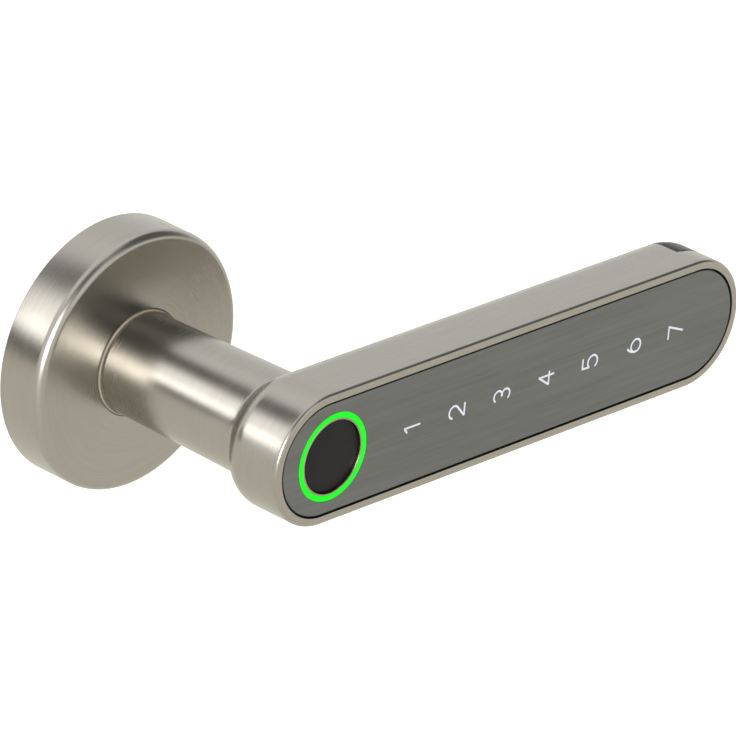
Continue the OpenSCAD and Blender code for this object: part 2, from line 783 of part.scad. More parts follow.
module motor_holder() {
    slot = key_w + 0.2;
    color([0.85, 0.85, 0.82]) on_door() difference() {
        slab(holder_z0, motor_z + motor_len + 1) circle(bore_r - fit_gap);
        slab(holder_z0 - 1, holder_wall_z) circle(slider_r + run_gap);
        translate([0, 0, holder_wall_z - 1]) cylinder(r = screw_r + 0.6, h = 5);
        translate([0, 0, motor_z]) cylinder(r = motor_r + fit_gap, h = motor_len + 5);
        translate([-slot / 2, -bore_r, holder_z0 - 1]) cube([slot, neck_bore_d, holder_wall_z - holder_z0]);
    }
}

module motor() {
    color([0.7, 0.7, 0.68]) on_door() difference() {
        union() {
            slab(motor_z, motor_z + motor_len) circle(motor_r);
            slab(motor_z + motor_len - 0.5, motor_z + motor_len + motor_boss.y) circle(motor_boss.x);
        }
        translate([0, 0, motor_z - 1]) cylinder(r = screw_r + run_gap, h = 4.3);
    }
}

module motor_wires() {
    color([0.7, 0.08, 0.06]) on_door() for (s = [-1, 1]) translate([1.2 * s, 0, 0])
        slab(motor_z + motor_len + motor_boss.y, main_board_z) circle(lead_wire_r);
}

module lead_screw() {
    z0 = slider_z - 1.2;
    z1 = holder_wall_z;
    end_z = motor_z + 3;
    root_r = screw_r - thread_depth;
    turns = floor((z1 - z0) / thread_pitch) - 1;
    tooth = [[0, 0.2], [thread_depth, 0.5], [0, 0.8]];
    color(steel) on_door() rotate_extrude() polygon(concat(
        [[0, z0], [root_r, z0]],
        [for (i = [0:turns]) for (p = tooth) [root_r + p.x, z0 + (i + p.y) * thread_pitch]],
        [[root_r, z1], [screw_r, z1], [screw_r, end_z], [0, end_z]]
    ));
}

module clutch_slider() {
    color([0.78, 0.62, 0.32]) on_door() difference() {
        union() {
            slab(slider_z, slider_z + slider_len) circle(slider_r);
            translate([-key_w / 2, -bore_r + 0.6, slider_z]) cube([key_w, neck_bore_d - 1.2, slider_len]);
            intersection() {
                slab(slider_z - slot_depth, slider_z + 1) circle(slider_r);
                for (s = [0, 180]) rotate(s) translate([dog_in_r, -dog_w / 2, slider_z - slot_depth])
                    cube([slider_r, dog_w, slot_depth + 0.5]);
            }
        }
        translate([0, 0, slider_z - 1]) cylinder(r = screw_r + run_gap, h = slider_len + 2);
    }
}

module drive_hub() {
    socket = spindle_w + 2 * fit_gap;
    color(steel) on_door() difference() {
        slab(hub_z0, hub_z1) circle(hub_r);
        translate([-socket / 2, -socket / 2, 0]) cube([socket, socket, hub_z0 + socket_depth]);
        for (i = [1:slot_count]) rotate(i * 360 / slot_count)
            translate([dog_in_r - 0.4, -slot_w / 2, hub_z1 - slot_depth])
                cube([slider_r + 0.8 - dog_in_r, slot_w, slot_depth + 1]);
    }
}

rose_cover();
mounting_plate();
bearing_plate();
plate_screws();
neck_bush();
return_spring();
fixing_posts();
cover_grub_screw();
lever_body();
neck_circlip();
spring_carrier();
hub_ring();
face_panel();
digit_inlays();
panel_frame();
light_guide();
keypad_board();
touch_pads();
backlight_leds();
light_ring();
sensor_bezel();
fingerprint_sensor();
sensor_board();
ring_leds();
main_board();
board_chips();
board_link();
battery_tray();
battery_cells();
contact_springs();
body_magnets();
motor_holder();
motor();
motor_wires();
battery_cap();
cap_contact_plate();
cap_seal();
cap_magnets();
lead_screw();
clutch_slider();
drive_hub();
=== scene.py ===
import math

import bmesh
import bpy
import numpy as np
from mathutils import Matrix, Vector


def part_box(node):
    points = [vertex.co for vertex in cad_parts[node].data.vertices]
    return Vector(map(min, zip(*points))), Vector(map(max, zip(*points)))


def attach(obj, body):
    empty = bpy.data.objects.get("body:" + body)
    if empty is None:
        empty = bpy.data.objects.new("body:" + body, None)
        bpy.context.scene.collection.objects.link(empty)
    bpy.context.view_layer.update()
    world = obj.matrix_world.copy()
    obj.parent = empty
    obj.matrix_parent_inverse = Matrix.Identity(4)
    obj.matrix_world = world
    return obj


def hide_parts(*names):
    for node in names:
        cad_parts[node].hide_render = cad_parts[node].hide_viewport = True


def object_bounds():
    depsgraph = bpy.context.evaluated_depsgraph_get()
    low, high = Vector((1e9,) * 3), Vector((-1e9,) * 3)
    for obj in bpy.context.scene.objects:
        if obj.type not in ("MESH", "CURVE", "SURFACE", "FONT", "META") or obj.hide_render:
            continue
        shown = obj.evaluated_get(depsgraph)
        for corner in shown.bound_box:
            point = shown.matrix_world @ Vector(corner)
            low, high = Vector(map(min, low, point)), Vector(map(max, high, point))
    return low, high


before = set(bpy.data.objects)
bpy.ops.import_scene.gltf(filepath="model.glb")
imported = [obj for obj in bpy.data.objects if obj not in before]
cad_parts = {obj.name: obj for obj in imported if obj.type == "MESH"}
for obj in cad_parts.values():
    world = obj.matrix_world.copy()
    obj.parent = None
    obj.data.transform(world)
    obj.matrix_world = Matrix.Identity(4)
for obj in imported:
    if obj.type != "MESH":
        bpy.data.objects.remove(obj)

cad_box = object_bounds()


# ---- Studio ----
# A pale floor well below the lock, which hangs in the air as it does on a door, a soft white
# room with one strip light behind it on the left, and a long lens in front, to the left and above.

def put(tree, kind, inputs=None, **settings):
    """A node in a tree, with its settings, and with values or other nodes' outputs on its inputs."""
    node = tree.nodes.new(kind)
    for name, value in settings.items():
        setattr(node, name, value)
    for name, value in (inputs or {}).items():
        if isinstance(value, bpy.types.NodeSocket):
            tree.links.new(value, node.inputs[name])
        else:
            node.inputs[name].default_value = value
    return node


def place_camera(aim, azimuth, elevation, roll, distance, lens):
    a, e, r = (math.radians(angle) for angle in (azimuth, elevation, roll))
    back = Vector((math.sin(a) * math.cos(e), -math.cos(a) * math.cos(e), math.sin(e)))
    right = Vector((math.cos(a), math.sin(a), 0))
    up = back.cross(right)
    across = math.cos(r) * right + math.sin(r) * up
    upright = math.cos(r) * up - math.sin(r) * right
    camera = bpy.data.objects.new("camera", bpy.data.cameras.new("camera"))
    bpy.context.scene.collection.objects.link(camera)
    turn = Matrix((across, upright, back)).transposed().to_4x4()
    camera.matrix_world = Matrix.Translation(Vector(aim) + back * distance) @ turn
    camera.data.lens = lens
    camera.data.clip_end = 50
    bpy.context.scene.camera = camera


def lay_floor(drop, half):
    level = cad_box[0].z - drop
    mesh = bpy.data.meshes.new("floor")
    corners = [(-half, -half, level), (half, -half, level), (half, half, level), (-half, half, level)]
    mesh.from_pydata(corners, [], [(0, 1, 2, 3)])
    floor = bpy.data.objects.new("floor", mesh)
    bpy.context.scene.collection.objects.link(floor)
    material = bpy.data.materials.new("pale floor")
    material.use_nodes = True
    tree = material.node_tree
    shader = tree.nodes["Principled BSDF"]
    shader.inputs["Base Color"].default_value = (0.93, 0.905, 0.82, 1)
    shader.inputs["Roughness"].default_value = 0.9
    shader.inputs["Emission Color"].default_value = (0.93, 0.96, 1, 1)
    seen = put(tree, "ShaderNodeLightPath").outputs["Is Camera Ray"]
    lift = put(tree, "ShaderNodeMath", {0: seen, 1: 0.35}, operation="MULTIPLY").outputs[0]
    tree.links.new(lift, shader.inputs["Emission Strength"])
    mesh.materials.append(material)


def stand_flag(place, heading, width, height):
    """A dark card close behind the rose's left side, which only the lock's metal sees."""
    mesh = bpy.data.meshes.new("flag")
    centre = Vector(place)
    a = math.radians(heading)
    across = Vector((math.cos(a), math.sin(a), 0)) * width / 2
    up = Vector((0, 0, height / 2))
    mesh.from_pydata([centre - across - up, centre + across - up, centre + across + up, centre - across + up],
                     [], [(0, 1, 2, 3)])
    flag = bpy.data.objects.new("flag", mesh)
    bpy.context.scene.collection.objects.link(flag)
    material = bpy.data.materials.new("black card")
    material.use_nodes = True
    shader = material.node_tree.nodes["Principled BSDF"]
    shader.inputs["Base Color"].default_value = (0.02, 0.02, 0.02, 1)
    shader.inputs["Roughness"].default_value = 1
    mesh.materials.append(material)
    flag.visible_camera = False
    flag.visible_diffuse = False
    flag.visible_shadow = False


def light_room(base, spots):
    """The room's light: a base level, and soft spots that add light or hold it back round a direction."""
    world = bpy.data.worlds.new("studio")
    bpy.context.scene.world = world
    world.use_nodes = True
    tree = world.node_tree
    tree.nodes.clear()
    direction = put(tree, "ShaderNodeTexCoord").outputs["Generated"]
    level = None
    for aim, inner, outer, amount in spots:
        towards = {0: direction, 1: Vector(aim).normalized()}
        match = put(tree, "ShaderNodeVectorMath", towards, operation="DOT_PRODUCT").outputs["Value"]
        spot = put(tree, "ShaderNodeMapRange", {
            "Value": match, "From Min": math.cos(math.radians(outer)),
            "From Max": math.cos(math.radians(inner)), "To Min": 0, "To Max": amount,
        }, interpolation_type="SMOOTHSTEP").outputs[0]
        before = base if level is None else level
        level = put(tree, "ShaderNodeMath", {0: before, 1: spot}, operation="ADD").outputs[0]
    level = put(tree, "ShaderNodeMath", {0: level, 1: 0.02}, operation="MAXIMUM").outputs[0]
    seen = put(tree, "ShaderNodeLightPath").outputs["Is Camera Ray"]
    room = put(tree, "ShaderNodeBackground", {"Color": (1, 1, 0.985, 1), "Strength": level})
    white = put(tree, "ShaderNodeBackground", {"Color": (1, 1, 1, 1), "Strength": 1})
    mixed = put(tree, "ShaderNodeMixShader", {0: seen, 1: room.outputs[0], 2: white.outputs[0]})
    put(tree, "ShaderNodeOutputWorld", {"Surface": mixed.outputs[0]})


place_camera(aim=(0.04844, -0.03474, -0.00604), azimuth=-48.18, elevation=24.5, roll=5.12,
             distance=1.6103, lens=360.3)
lay_floor(drop=0.16, half=8)
stand_flag(place=(-0.105, 0.060, 0.016), heading=51, width=0.06, height=0.032)
light_room(1.22, [
    ((0.68, 0.61, 0.41), 10, 35, -0.22),
    ((-0.60, 0.61, 0.52), 2, 11, 1.3),
    ((-0.73, 0.61, 0.28), 2, 11, 3.3),
    ((-0.68, -0.61, 0.41), 5, 20, 0.8),
    ((-0.79, -0.60, 0.12), 6, 24, 9.0),
    ((-0.29, -0.61, 0.74), 10, 34, -1.1),
    ((0.70, -0.40, 0.60), 20, 38, -1.05),
    ((-0.27, 0.62, 0.74), 4, 15, -1.2),
])
bpy.context.scene.view_settings.view_transform = "Standard"


# ---- Rose cover ----
# The round plate that hides the lock's fixings on the door. It is a cup of zinc, turned and
# plated with satin nickel, which slips over the mounting plate and is held by a grub screw below.

MM = 0.001


def rounded(corners, steps=6):
    """A closed outline of (radius, height, rounding) corners, with each rounding drawn as an arc."""
    outline = []
    count = len(corners)
    for i, (x, y, radius) in enumerate(corners):
        here = Vector((x, y))
        if radius == 0:
            outline.append((x, y))
            continue
        before = (Vector(corners[i - 1][:2]) - here).normalized()
        after = (Vector(corners[(i + 1) % count][:2]) - here).normalized()
        half = before.angle(after) / 2
        reach = radius / math.tan(half)
        centre = here + (before + after).normalized() * radius / math.sin(half)
        first = here + before * reach - centre
        sweep = first.angle_signed(here + after * reach - centre)
        for k in range(steps + 1):
            turned = first.copy()
            turned.rotate(Matrix.Rotation(-sweep * k / steps, 2))
            outline.append(tuple(centre + turned))
    return outline


def in_row(x, up, out):
    """A place given along the lever, upwards and out from the door, in the row's frame in metres."""
    return Vector((x, -out, up)) * MM


def make_mesh(name, points, faces):
    """An object from places in millimetres, with doubles merged and its faces turned outwards."""
    mesh = bpy.data.meshes.new(name)
    mesh.from_pydata([in_row(*p) for p in points], [], faces)
    shell = bmesh.new()
    shell.from_mesh(mesh)
    bmesh.ops.remove_doubles(shell, verts=shell.verts, dist=1e-7)
    bmesh.ops.recalc_face_normals(shell, faces=shell.faces)
    shell.to_mesh(mesh)
    shell.free()
    piece = bpy.data.objects.new(name, mesh)
    bpy.context.scene.collection.objects.link(piece)
    return piece


def lathe(name, outline, steps=160, centre=(0, 0), start=0, sweep=360):
    """Turns a closed outline of (radius, out) points round an axis that stands on the door."""
    count = len(outline)
    rings = steps if sweep == 360 else steps + 1
    points, faces = [], []
    for i in range(rings):
        a = math.radians(start + sweep * i / steps)
        points += [(centre[0] + r * math.cos(a), centre[1] + r * math.sin(a), out) for r, out in outline]
    for i in range(steps):
        near, far = i * count, (i + 1) % rings * count
        for k in range(count):
            n = (k + 1) % count
            faces.append((near + k, near + n, far + n, far + k))
    if sweep != 360:
        faces += [tuple(range(count)), tuple(steps * count + k for k in range(count))]
    return make_mesh(name, points, faces)


def carve(piece, cutters, operation="DIFFERENCE"):
    """Cuts the cutters out of a piece, or joins them to it, and removes them."""
    for cutter in cutters:
        modifier = piece.modifiers.new("cut", "BOOLEAN")
        modifier.solver = "EXACT"
        modifier.operation = operation
        modifier.object = cutter
    settle(piece)
    for cutter in cutters:
        bpy.data.objects.remove(cutter)


def settle(piece):
    """Turns a piece with its modifiers into a plain mesh."""
    evaluated = piece.evaluated_get(bpy.context.evaluated_depsgraph_get())
    piece.data = bpy.data.meshes.new_from_object(evaluated)
    piece.modifiers.clear()


def fit(piece, body, materials, nodes, sharp=32):
    """Shades a finished piece, and fixes it to its body in place of the CAD nodes it stands for."""
    mesh = piece.data
    mesh.shade_smooth()
    mesh.set_sharp_from_angle(angle=math.radians(sharp))
    if not mesh.materials:
        for material in materials:
            mesh.materials.append(material)
    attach(piece, body)
    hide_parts(*nodes)


def group_tree(name, inputs, outputs):
    """An empty shader group, with its named inputs and their values and its named outputs."""
    tree = bpy.data.node_groups.new(name, "ShaderNodeTree")
    for socket, value in inputs.items():
        kind = "NodeSocketFloat" if isinstance(value, (int, float)) else "NodeSocketVector"
        tree.interface.new_socket(socket, in_out="INPUT", socket_type=kind).default_value = value
    for socket in outputs:
        tree.interface.new_socket(socket, in_out="OUTPUT", socket_type="NodeSocketFloat")
    return tree, tree.nodes.new("NodeGroupInput").outputs, tree.nodes.new("NodeGroupOutput")


def brushing_group():
    """Fine lines that follow the outline of a round or long piece, from the abrasive belt."""
    tree, given, out = group_tree("brushing", {"Near": 0.0, "Far": 0.0, "Fine": 14000.0, "Slow": 110.0},
                                  ["Lines", "Streaks"])
    place = put(tree, "ShaderNodeSeparateXYZ", {0: put(tree, "ShaderNodeTexCoord").outputs["Object"]}).outputs
    limits = {"Value": place[0], "Min": given["Near"], "Max": given["Far"]}
    along = put(tree, "ShaderNodeClamp", limits).outputs[0]
    across = put(tree, "ShaderNodeMath", {0: place[0], 1: along}, operation="SUBTRACT").outputs[0]
    spoke = put(tree, "ShaderNodeCombineXYZ", {0: across, 2: place[2]}).outputs[0]
    reach = put(tree, "ShaderNodeVectorMath", {0: spoke}, operation="LENGTH").outputs["Value"]
    heading = put(tree, "ShaderNodeVectorMath", {0: spoke}, operation="NORMALIZE").outputs[0]
    heading = put(tree, "ShaderNodeSeparateXYZ", {0: heading}).outputs
    bend = 0.02   # radius at which a turn round the piece counts as length
    bent = {0: heading[0], 1: bend, 2: along}
    turn = put(tree, "ShaderNodeMath", bent, operation="MULTIPLY_ADD").outputs[0]
    rise = put(tree, "ShaderNodeMath", {0: heading[2], 1: bend}, operation="MULTIPLY").outputs[0]

    def scaled(value, scale):
        return put(tree, "ShaderNodeMath", {0: value, 1: scale}, operation="MULTIPLY").outputs[0]

    for name, share in (("Lines", 1.0), ("Streaks", 0.3)):
        fine = scaled(given["Fine"], share)
        vector = put(tree, "ShaderNodeCombineXYZ", {
            0: scaled(place[1], fine), 1: scaled(reach, fine), 2: scaled(turn, given["Slow"])}).outputs[0]
        noise = put(tree, "ShaderNodeTexNoise", {
            "Vector": vector, "W": scaled(rise, given["Slow"]), "Scale": 1.0, "Detail": 3.0, "Roughness": 0.6,
        }, noise_dimensions="4D")
        tree.links.new(noise.outputs["Fac"], out.inputs[name])
    return tree


def wear_group():
    """Where an edge stands out, and has been rubbed by hands and cloths."""
    tree, given, out = group_tree("edge wear", {"Reach": 0.0004}, ["Edge"])
    soft = put(tree, "ShaderNodeBevel", {"Radius": given["Reach"]}, samples=6).outputs[0]
    true = put(tree, "ShaderNodeNewGeometry").outputs["Normal"]
    match = put(tree, "ShaderNodeVectorMath", {0: soft, 1: true}, operation="DOT_PRODUCT").outputs["Value"]
    edge = put(tree, "ShaderNodeMapRange", {"Value": match, "From Min": 0.995, "From Max": 0.80}).outputs[0]
    tree.links.new(edge, out.inputs["Edge"])
    return tree


def grain_group():
    """Fine even grain, as on a blasted casting or a moulded face, and large soft patches."""
    tree, given, out = group_tree("grain", {"Fine": 4000.0, "Broad": 60.0}, ["Grain", "Patches"])
    place = put(tree, "ShaderNodeTexCoord").outputs["Object"]
    for name, scale, detail in (("Grain", given["Fine"], 2.0), ("Patches", given["Broad"], 3.0)):
        noise = put(tree, "ShaderNodeTexNoise", {"Vector": place, "Scale": scale, "Detail": detail})
        tree.links.new(noise.outputs["Fac"], out.inputs[name])
    return tree


brushing = brushing_group()
wear = wear_group()
grain = grain_group()


def start_material(name, **values):
    """A material with one shader. Its constants are set straight on the shader's sockets."""
    material = bpy.data.materials.new(name)
    material.use_nodes = True
    tree = material.node_tree
    shader = tree.nodes["Principled BSDF"]
    for socket, value in values.items():
        shader.inputs[socket.replace("_", " ")].default_value = value
    return material, tree, shader


def use_group(tree, group, **inputs):
    return put(tree, "ShaderNodeGroup", inputs, node_tree=group).outputs


def blend_colours(tree, share, low, high):
    mix = put(tree, "ShaderNodeMix", {"Factor": share}, data_type="RGBA")
    for socket, colour in ((mix.inputs[6], low), (mix.inputs[7], high)):
        if isinstance(colour, bpy.types.NodeSocket):
            tree.links.new(colour, socket)
        else:
            socket.default_value = (*colour, 1)
    return mix.outputs[2]


def span(tree, value, low, high, start=0.3, end=0.7):
    """Maps a value from start..end to low..high."""
    inputs = {"Value": value, "From Min": start, "From Max": end, "To Min": low, "To Max": high}
    return put(tree, "ShaderNodeMapRange", inputs).outputs[0]


def surface(tree, shader, colour, rough, height, strength, depth):
    """Links a material's colour and roughness, and a relief of a given strength and depth."""
    tree.links.new(colour, shader.inputs["Base Color"])
    tree.links.new(rough, shader.inputs["Roughness"])
    bump = put(tree, "ShaderNodeBump", {"Height": height, "Strength": strength, "Distance": depth})
    tree.links.new(bump.outputs[0], shader.inputs["Normal"])


def satin_nickel(name, near=0.0, far=0.0, turned=False):
    """Plated nickel with belt lines round the piece, a soft film of handling and bright worn edges."""
    material, tree, shader = start_material(name, Metallic=1.0)
    lines = use_group(tree, brushing, Near=near, Far=far)
    soft = use_group(tree, grain, Fine=2500.0, Broad=45.0)
    edge = use_group(tree, wear, Reach=0.0003)["Edge"]
    streaks = span(tree, lines["Streaks"], 0, 1)
    colour = blend_colours(tree, streaks, (0.350, 0.332, 0.298), (0.390, 0.371, 0.336))
    colour = blend_colours(tree, edge, colour, (0.44, 0.42, 0.38))
    film = span(tree, soft["Patches"], 0.20, 0.25)
    rough = put(tree, "ShaderNodeMath", {0: lines["Lines"], 1: 0.07, 2: film}, operation="MULTIPLY_ADD")
    relief = put(tree, "ShaderNodeMath", {0: lines["Lines"], 1: lines["Streaks"]}, operation="ADD")
    surface(tree, shader, colour, rough.outputs[0], relief.outputs[0], 0.35, 0.00001)
    if turned:
        shader.inputs["Anisotropic"].default_value = 0.55
        tangent = put(tree, "ShaderNodeTangent", direction_type="RADIAL", axis="Y")
        tree.links.new(tangent.outputs[0], shader.inputs["Tangent"])
    return material


cover_lo, cover_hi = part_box("rose_cover")
rose_r = cover_hi.x / MM
rose_t = -cover_lo.y / MM
rose_edge = 2.2
rose_wall = 1.5
bush_lo, bush_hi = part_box("neck_bush")
collar_r = bush_hi.x / MM
cover_hole_r = collar_r + 0.1
grub_lo, grub_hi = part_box("cover_grub_screw")
grub_out = -(grub_lo.y + grub_hi.y) / 2 / MM
grub_r = (grub_hi.x - grub_lo.x) / 2 / MM
turned_nickel = satin_nickel("satin nickel turned", turned=True)
cover = lathe("rose_cover_shell", rounded([
    (rose_r, 0, 0.2), (rose_r, rose_t, rose_edge), (cover_hole_r, rose_t, 0.2),
    (cover_hole_r, rose_t - rose_wall, 0.1), (rose_r - rose_wall, rose_t - rose_wall, rose_edge / 2),
    (rose_r - rose_wall, 0, 0.2)], steps=10), steps=256)
side_hole = bpy.data.objects.new("hole", bpy.data.meshes.new("hole"))
hole_r = (grub_r + 0.12) * MM
drill = bmesh.new()
bmesh.ops.create_cone(drill, cap_ends=True, segments=40, radius1=hole_r, radius2=hole_r, depth=8 * MM)
drill.to_mesh(side_hole.data)
drill.free()
side_hole.data.transform(Matrix.Translation(in_row(0, -rose_r, grub_out)))
bpy.context.scene.collection.objects.link(side_hole)
carve(cover, [side_hole])
fit(cover, "rose", [turned_nickel], ["rose_cover"])


# ---- Neck bush ----
# The bearing that the neck turns in, moulded in brown-grey acetal and pressed into the bearing
# plate's hub. Only its thin collar shows, as a fine ring between the neck and the rose.

def moulded(name, colour, rough=0.42, fine=5000.0, depth=0.000012, coat=0.0, shine=0.5):
    """Moulded plastic with a spark-eroded grain, softly varied, and rubbed smoother at its edges."""
    material, tree, shader = start_material(name, Coat_Weight=coat, Specular_IOR_Level=shine)
    soft = use_group(tree, grain, Fine=fine, Broad=90.0)
    edge = use_group(tree, wear, Reach=0.0003)["Edge"]
    low = tuple(0.82 * v for v in colour)
    high = tuple(min(1.0, 1.12 * v + 0.004) for v in colour)
    tinted = blend_colours(tree, span(tree, soft["Patches"], 0, 1), low, high)
    tinted = blend_colours(tree, edge, tinted, tuple(min(1.0, 1.35 * v + 0.01) for v in colour))
    matt = span(tree, soft["Grain"], rough - 0.06, rough + 0.1)
    surface(tree, shader, tinted, matt, soft["Grain"], 0.4, depth)
    return material


neck_r = 11.7
collar_out = -bush_lo.y / MM
bush_back = -bush_hi.y / MM
bush_in_r = 10.55
bush_out_r = collar_r - 0.4
flange_out = rose_t - rose_wall - 0.2
seat_r = neck_r + 0.15
bush = lathe("neck_bush_ring", rounded([
    (bush_in_r, bush_back, 0.15), (bush_out_r, bush_back, 0.15), (bush_out_r, flange_out, 0),
    (collar_r, flange_out, 0.05), (collar_r, collar_out, 0.22), (seat_r, collar_out, 0.1),
    (seat_r, collar_out - 0.4, 0), (bush_in_r, collar_out - 0.4, 0)], steps=5), steps=160)
fit(bush, "rose", [moulded("acetal", (0.30, 0.26, 0.20), rough=0.35)], ["neck_bush"])


# ---- Lever ----
# The lever and its neck are one hollow zinc casting, ground, belted along its length and plated
# with satin nickel. The neck runs into the rounded back through a small fillet.

lever_lo, lever_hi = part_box("lever_body")
end_r = (lever_hi.z - lever_lo.z) / 2 / MM
heel_x = lever_lo.x / MM + end_r
tip_x = lever_hi.x / MM - end_r
front = -lever_lo.y / MM
journal_out = -lever_hi.y / MM
back = front - 17.6
back_r = 6.5
front_r = 0.8
rim_w = 2.0
pocket_floor = front - 4.7
neck_top_r = 12.4
neck_shoulder = collar_out + 0.3
journal_r = 10.5
bore_r = 8.6
fillet_r = 2.6
head_end = heel_x + end_r + 3.5   # where the head's fan of faces meets the straight bar
wall = 2.2


def stand_off(side):
    """How far the rounded back stands off its flat, at a distance from the lever's middle line."""
    beyond = min(max(side - (end_r - back_r), 0), back_r)
    return back_r - math.sqrt(max(back_r ** 2 - beyond ** 2, 0))


def back_at(x, up):
    side = math.hypot(x - heel_x, up) if x < heel_x else abs(up)
    return back + stand_off(side)


def half_section(arc_steps=12, flat_steps=9):
    """Distances from the middle line at which the back's section has its points, out to the side."""
    flat = end_r - back_r
    return [flat * i / flat_steps for i in range(flat_steps)] + [
        flat + back_r * math.sin(math.radians(90 * i / arc_steps)) for i in range(arc_steps + 1)]


def head_outline(arc_steps=60, straight_steps=16):
    """The head's outline, from its top corner at head_end round the near end to the foot corner."""
    straight = [head_end + (heel_x - head_end) * i / straight_steps for i in range(straight_steps)]
    top = [(x, end_r) for x in straight]
    bow = []
    for i in range(arc_steps + 1):
        a = math.radians(90 + 180 * i / arc_steps)
        bow.append((heel_x + end_r * math.cos(a), end_r * math.sin(a)))
    foot = [(x, -end_r) for x in reversed(straight)]
    return top + bow + foot


def back_curve(angle, reach, steps=500):
    """The back along a ray from the neck's axis, as (distance, out) points, closer near the edge."""
    c, s = math.cos(angle), math.sin(angle)
    curve = []
    for i in range(steps + 1):
        t = 1 - (1 - i / steps) ** 2
        d = reach * t
        curve.append((d, back_at(d * c, d * s)))
    return np.array(curve)


def rolled_fillet(curve):
    """The centre height of a ball that rolls between neck and back, and its angle where it meets the back."""
    ball = neck_top_r + fillet_r
    low, high = back - 3 * fillet_r, back + back_r
    for _ in range(40):
        centre = (low + high) / 2
        gaps = np.hypot(curve[:, 0] - ball, curve[:, 1] - centre)
        if gaps.min() > fillet_r:
            low = centre
        else:
            high = centre
    touch = curve[np.argmin(gaps)]
    return low, touch


def resampled(points, steps):
    """Points evenly spaced along a curve."""
    gaps = np.hypot(*np.diff(points, axis=0).T)
    along = np.concatenate([[0], np.cumsum(gaps)])
    wanted = np.linspace(0, along[-1], steps + 1)
    return np.stack([np.interp(wanted, along, points[:, k]) for k in (0, 1)], axis=1)


def head_and_neck(outline, neck_steps=26, fillet_steps=8, back_steps=16):
    """Columns of points, one for each outline point, from the journal's end to the head's edge."""
    columns = []
    for x, up in outline:
        angle = math.atan2(up, x)
        reach = math.hypot(x, up)
        curve = back_curve(angle, reach)
        centre, touch = rolled_fillet(curve)
        meet = math.atan2(touch[1] - centre, touch[0] - neck_top_r - fillet_r)
        column = [(0, journal_out), (journal_r - 0.3, journal_out), (journal_r, journal_out + 0.3),
                  (journal_r, neck_shoulder), (neck_r - 0.25, neck_shoulder)]
        for i in range(neck_steps + 1):
            t = i / neck_steps
            out = neck_shoulder + 0.2 + (centre - neck_shoulder - 0.2) * t
            column.append((neck_r + (neck_top_r - neck_r) * t, out))
        for i in range(1, fillet_steps + 1):
            a = math.pi + (meet - math.pi) * i / fillet_steps
            column.append((neck_top_r + fillet_r + fillet_r * math.cos(a), centre + fillet_r * math.sin(a)))
        beyond = np.vstack([[touch], curve[curve[:, 0] > touch[0] + 1e-6]])
        column += [tuple(p) for p in resampled(beyond, back_steps)[1:]]
        column[-1] = (reach, back_at(x, up))
        columns.append([(r * math.cos(angle), r * math.sin(angle), out) for r, out in column])
    return columns


def lever_skin():
    """The lever's closed outer skin, with the pocket in its face."""
    points, faces = [], []

    def grid(rows, closed):
        start = len(points)
        width = len(rows[0])
        for row in rows:
            points.extend(row)
        for i in range(len(rows) - (0 if closed else 1)):
            for k in range(width - 1):
                a, b = start + i * width, start + (i + 1) % len(rows) * width
                faces.append((a + k, b + k, b + k + 1, a + k + 1))

    half = half_section()
    across = [-s for s in reversed(half[1:])] + half
    seam = [(head_end, up) for up in across[1:-1]]
    head = head_outline()
    grid(head_and_neck(head + seam), closed=True)
    bar_steps = 28
    stations = [head_end + (tip_x - head_end) * i / bar_steps for i in range(bar_steps + 1)]
    grid([[(x, up, back_at(x, up)) for up in across] for x in stations], closed=False)
    bow_steps = 60
    turns = [math.radians(-90 + 180 * i / bow_steps) for i in range(bow_steps + 1)]
    grid([[(tip_x + s * math.cos(a), s * math.sin(a), back + stand_off(s)) for s in half] for a in turns],
         closed=False)
    # outline points with the way outwards at each, once round
    rim = [(x, up, 0 if x > heel_x else (x - heel_x) / end_r, up / end_r) for x, up in head]
    rim += [(x, -end_r, 0, -1) for x in stations[1:]]
    rim += [(tip_x + end_r * math.cos(a), end_r * math.sin(a), math.cos(a), math.sin(a)) for a in turns[1:]]
    rim += [(x, end_r, 0, 1) for x in reversed(stations[1:-1])]
    section = [(0, back + back_r + (front - front_r - back - back_r) * i / 4) for i in range(5)]
    for i in range(1, 9):
        a = math.radians(90 * i / 8)
        section.append((front_r * (1 - math.cos(a)), front - front_r + front_r * math.sin(a)))
    section += [(rim_w - 0.15, front), (rim_w - 0.04, front - 0.04), (rim_w, front - 0.15),
                (rim_w, pocket_floor)]
    grid([[(x - dx * inset, up - du * inset, out) for inset, out in section] for x, up, dx, du in rim],
         closed=True)
    count = len(section)
    first = len(points) - count * len(rim)
    faces.append(tuple(first + i * count + count - 1 for i in range(len(rim))))
    return make_mesh("lever_shell", points, faces)


def block(name, lo, hi):
    """A plain box between two corners, used to cut with."""
    (x0, u0, o0), (x1, u1, o1) = lo, hi
    points = [(x, u, o) for x in (x0, x1) for u in (u0, u1) for o in (o0, o1)]
    faces = [(0, 1, 3, 2), (4, 6, 7, 5), (0, 4, 5, 1), (2, 3, 7, 6), (0, 2, 6, 4), (1, 5, 7, 3)]
    return make_mesh(name, points, faces)


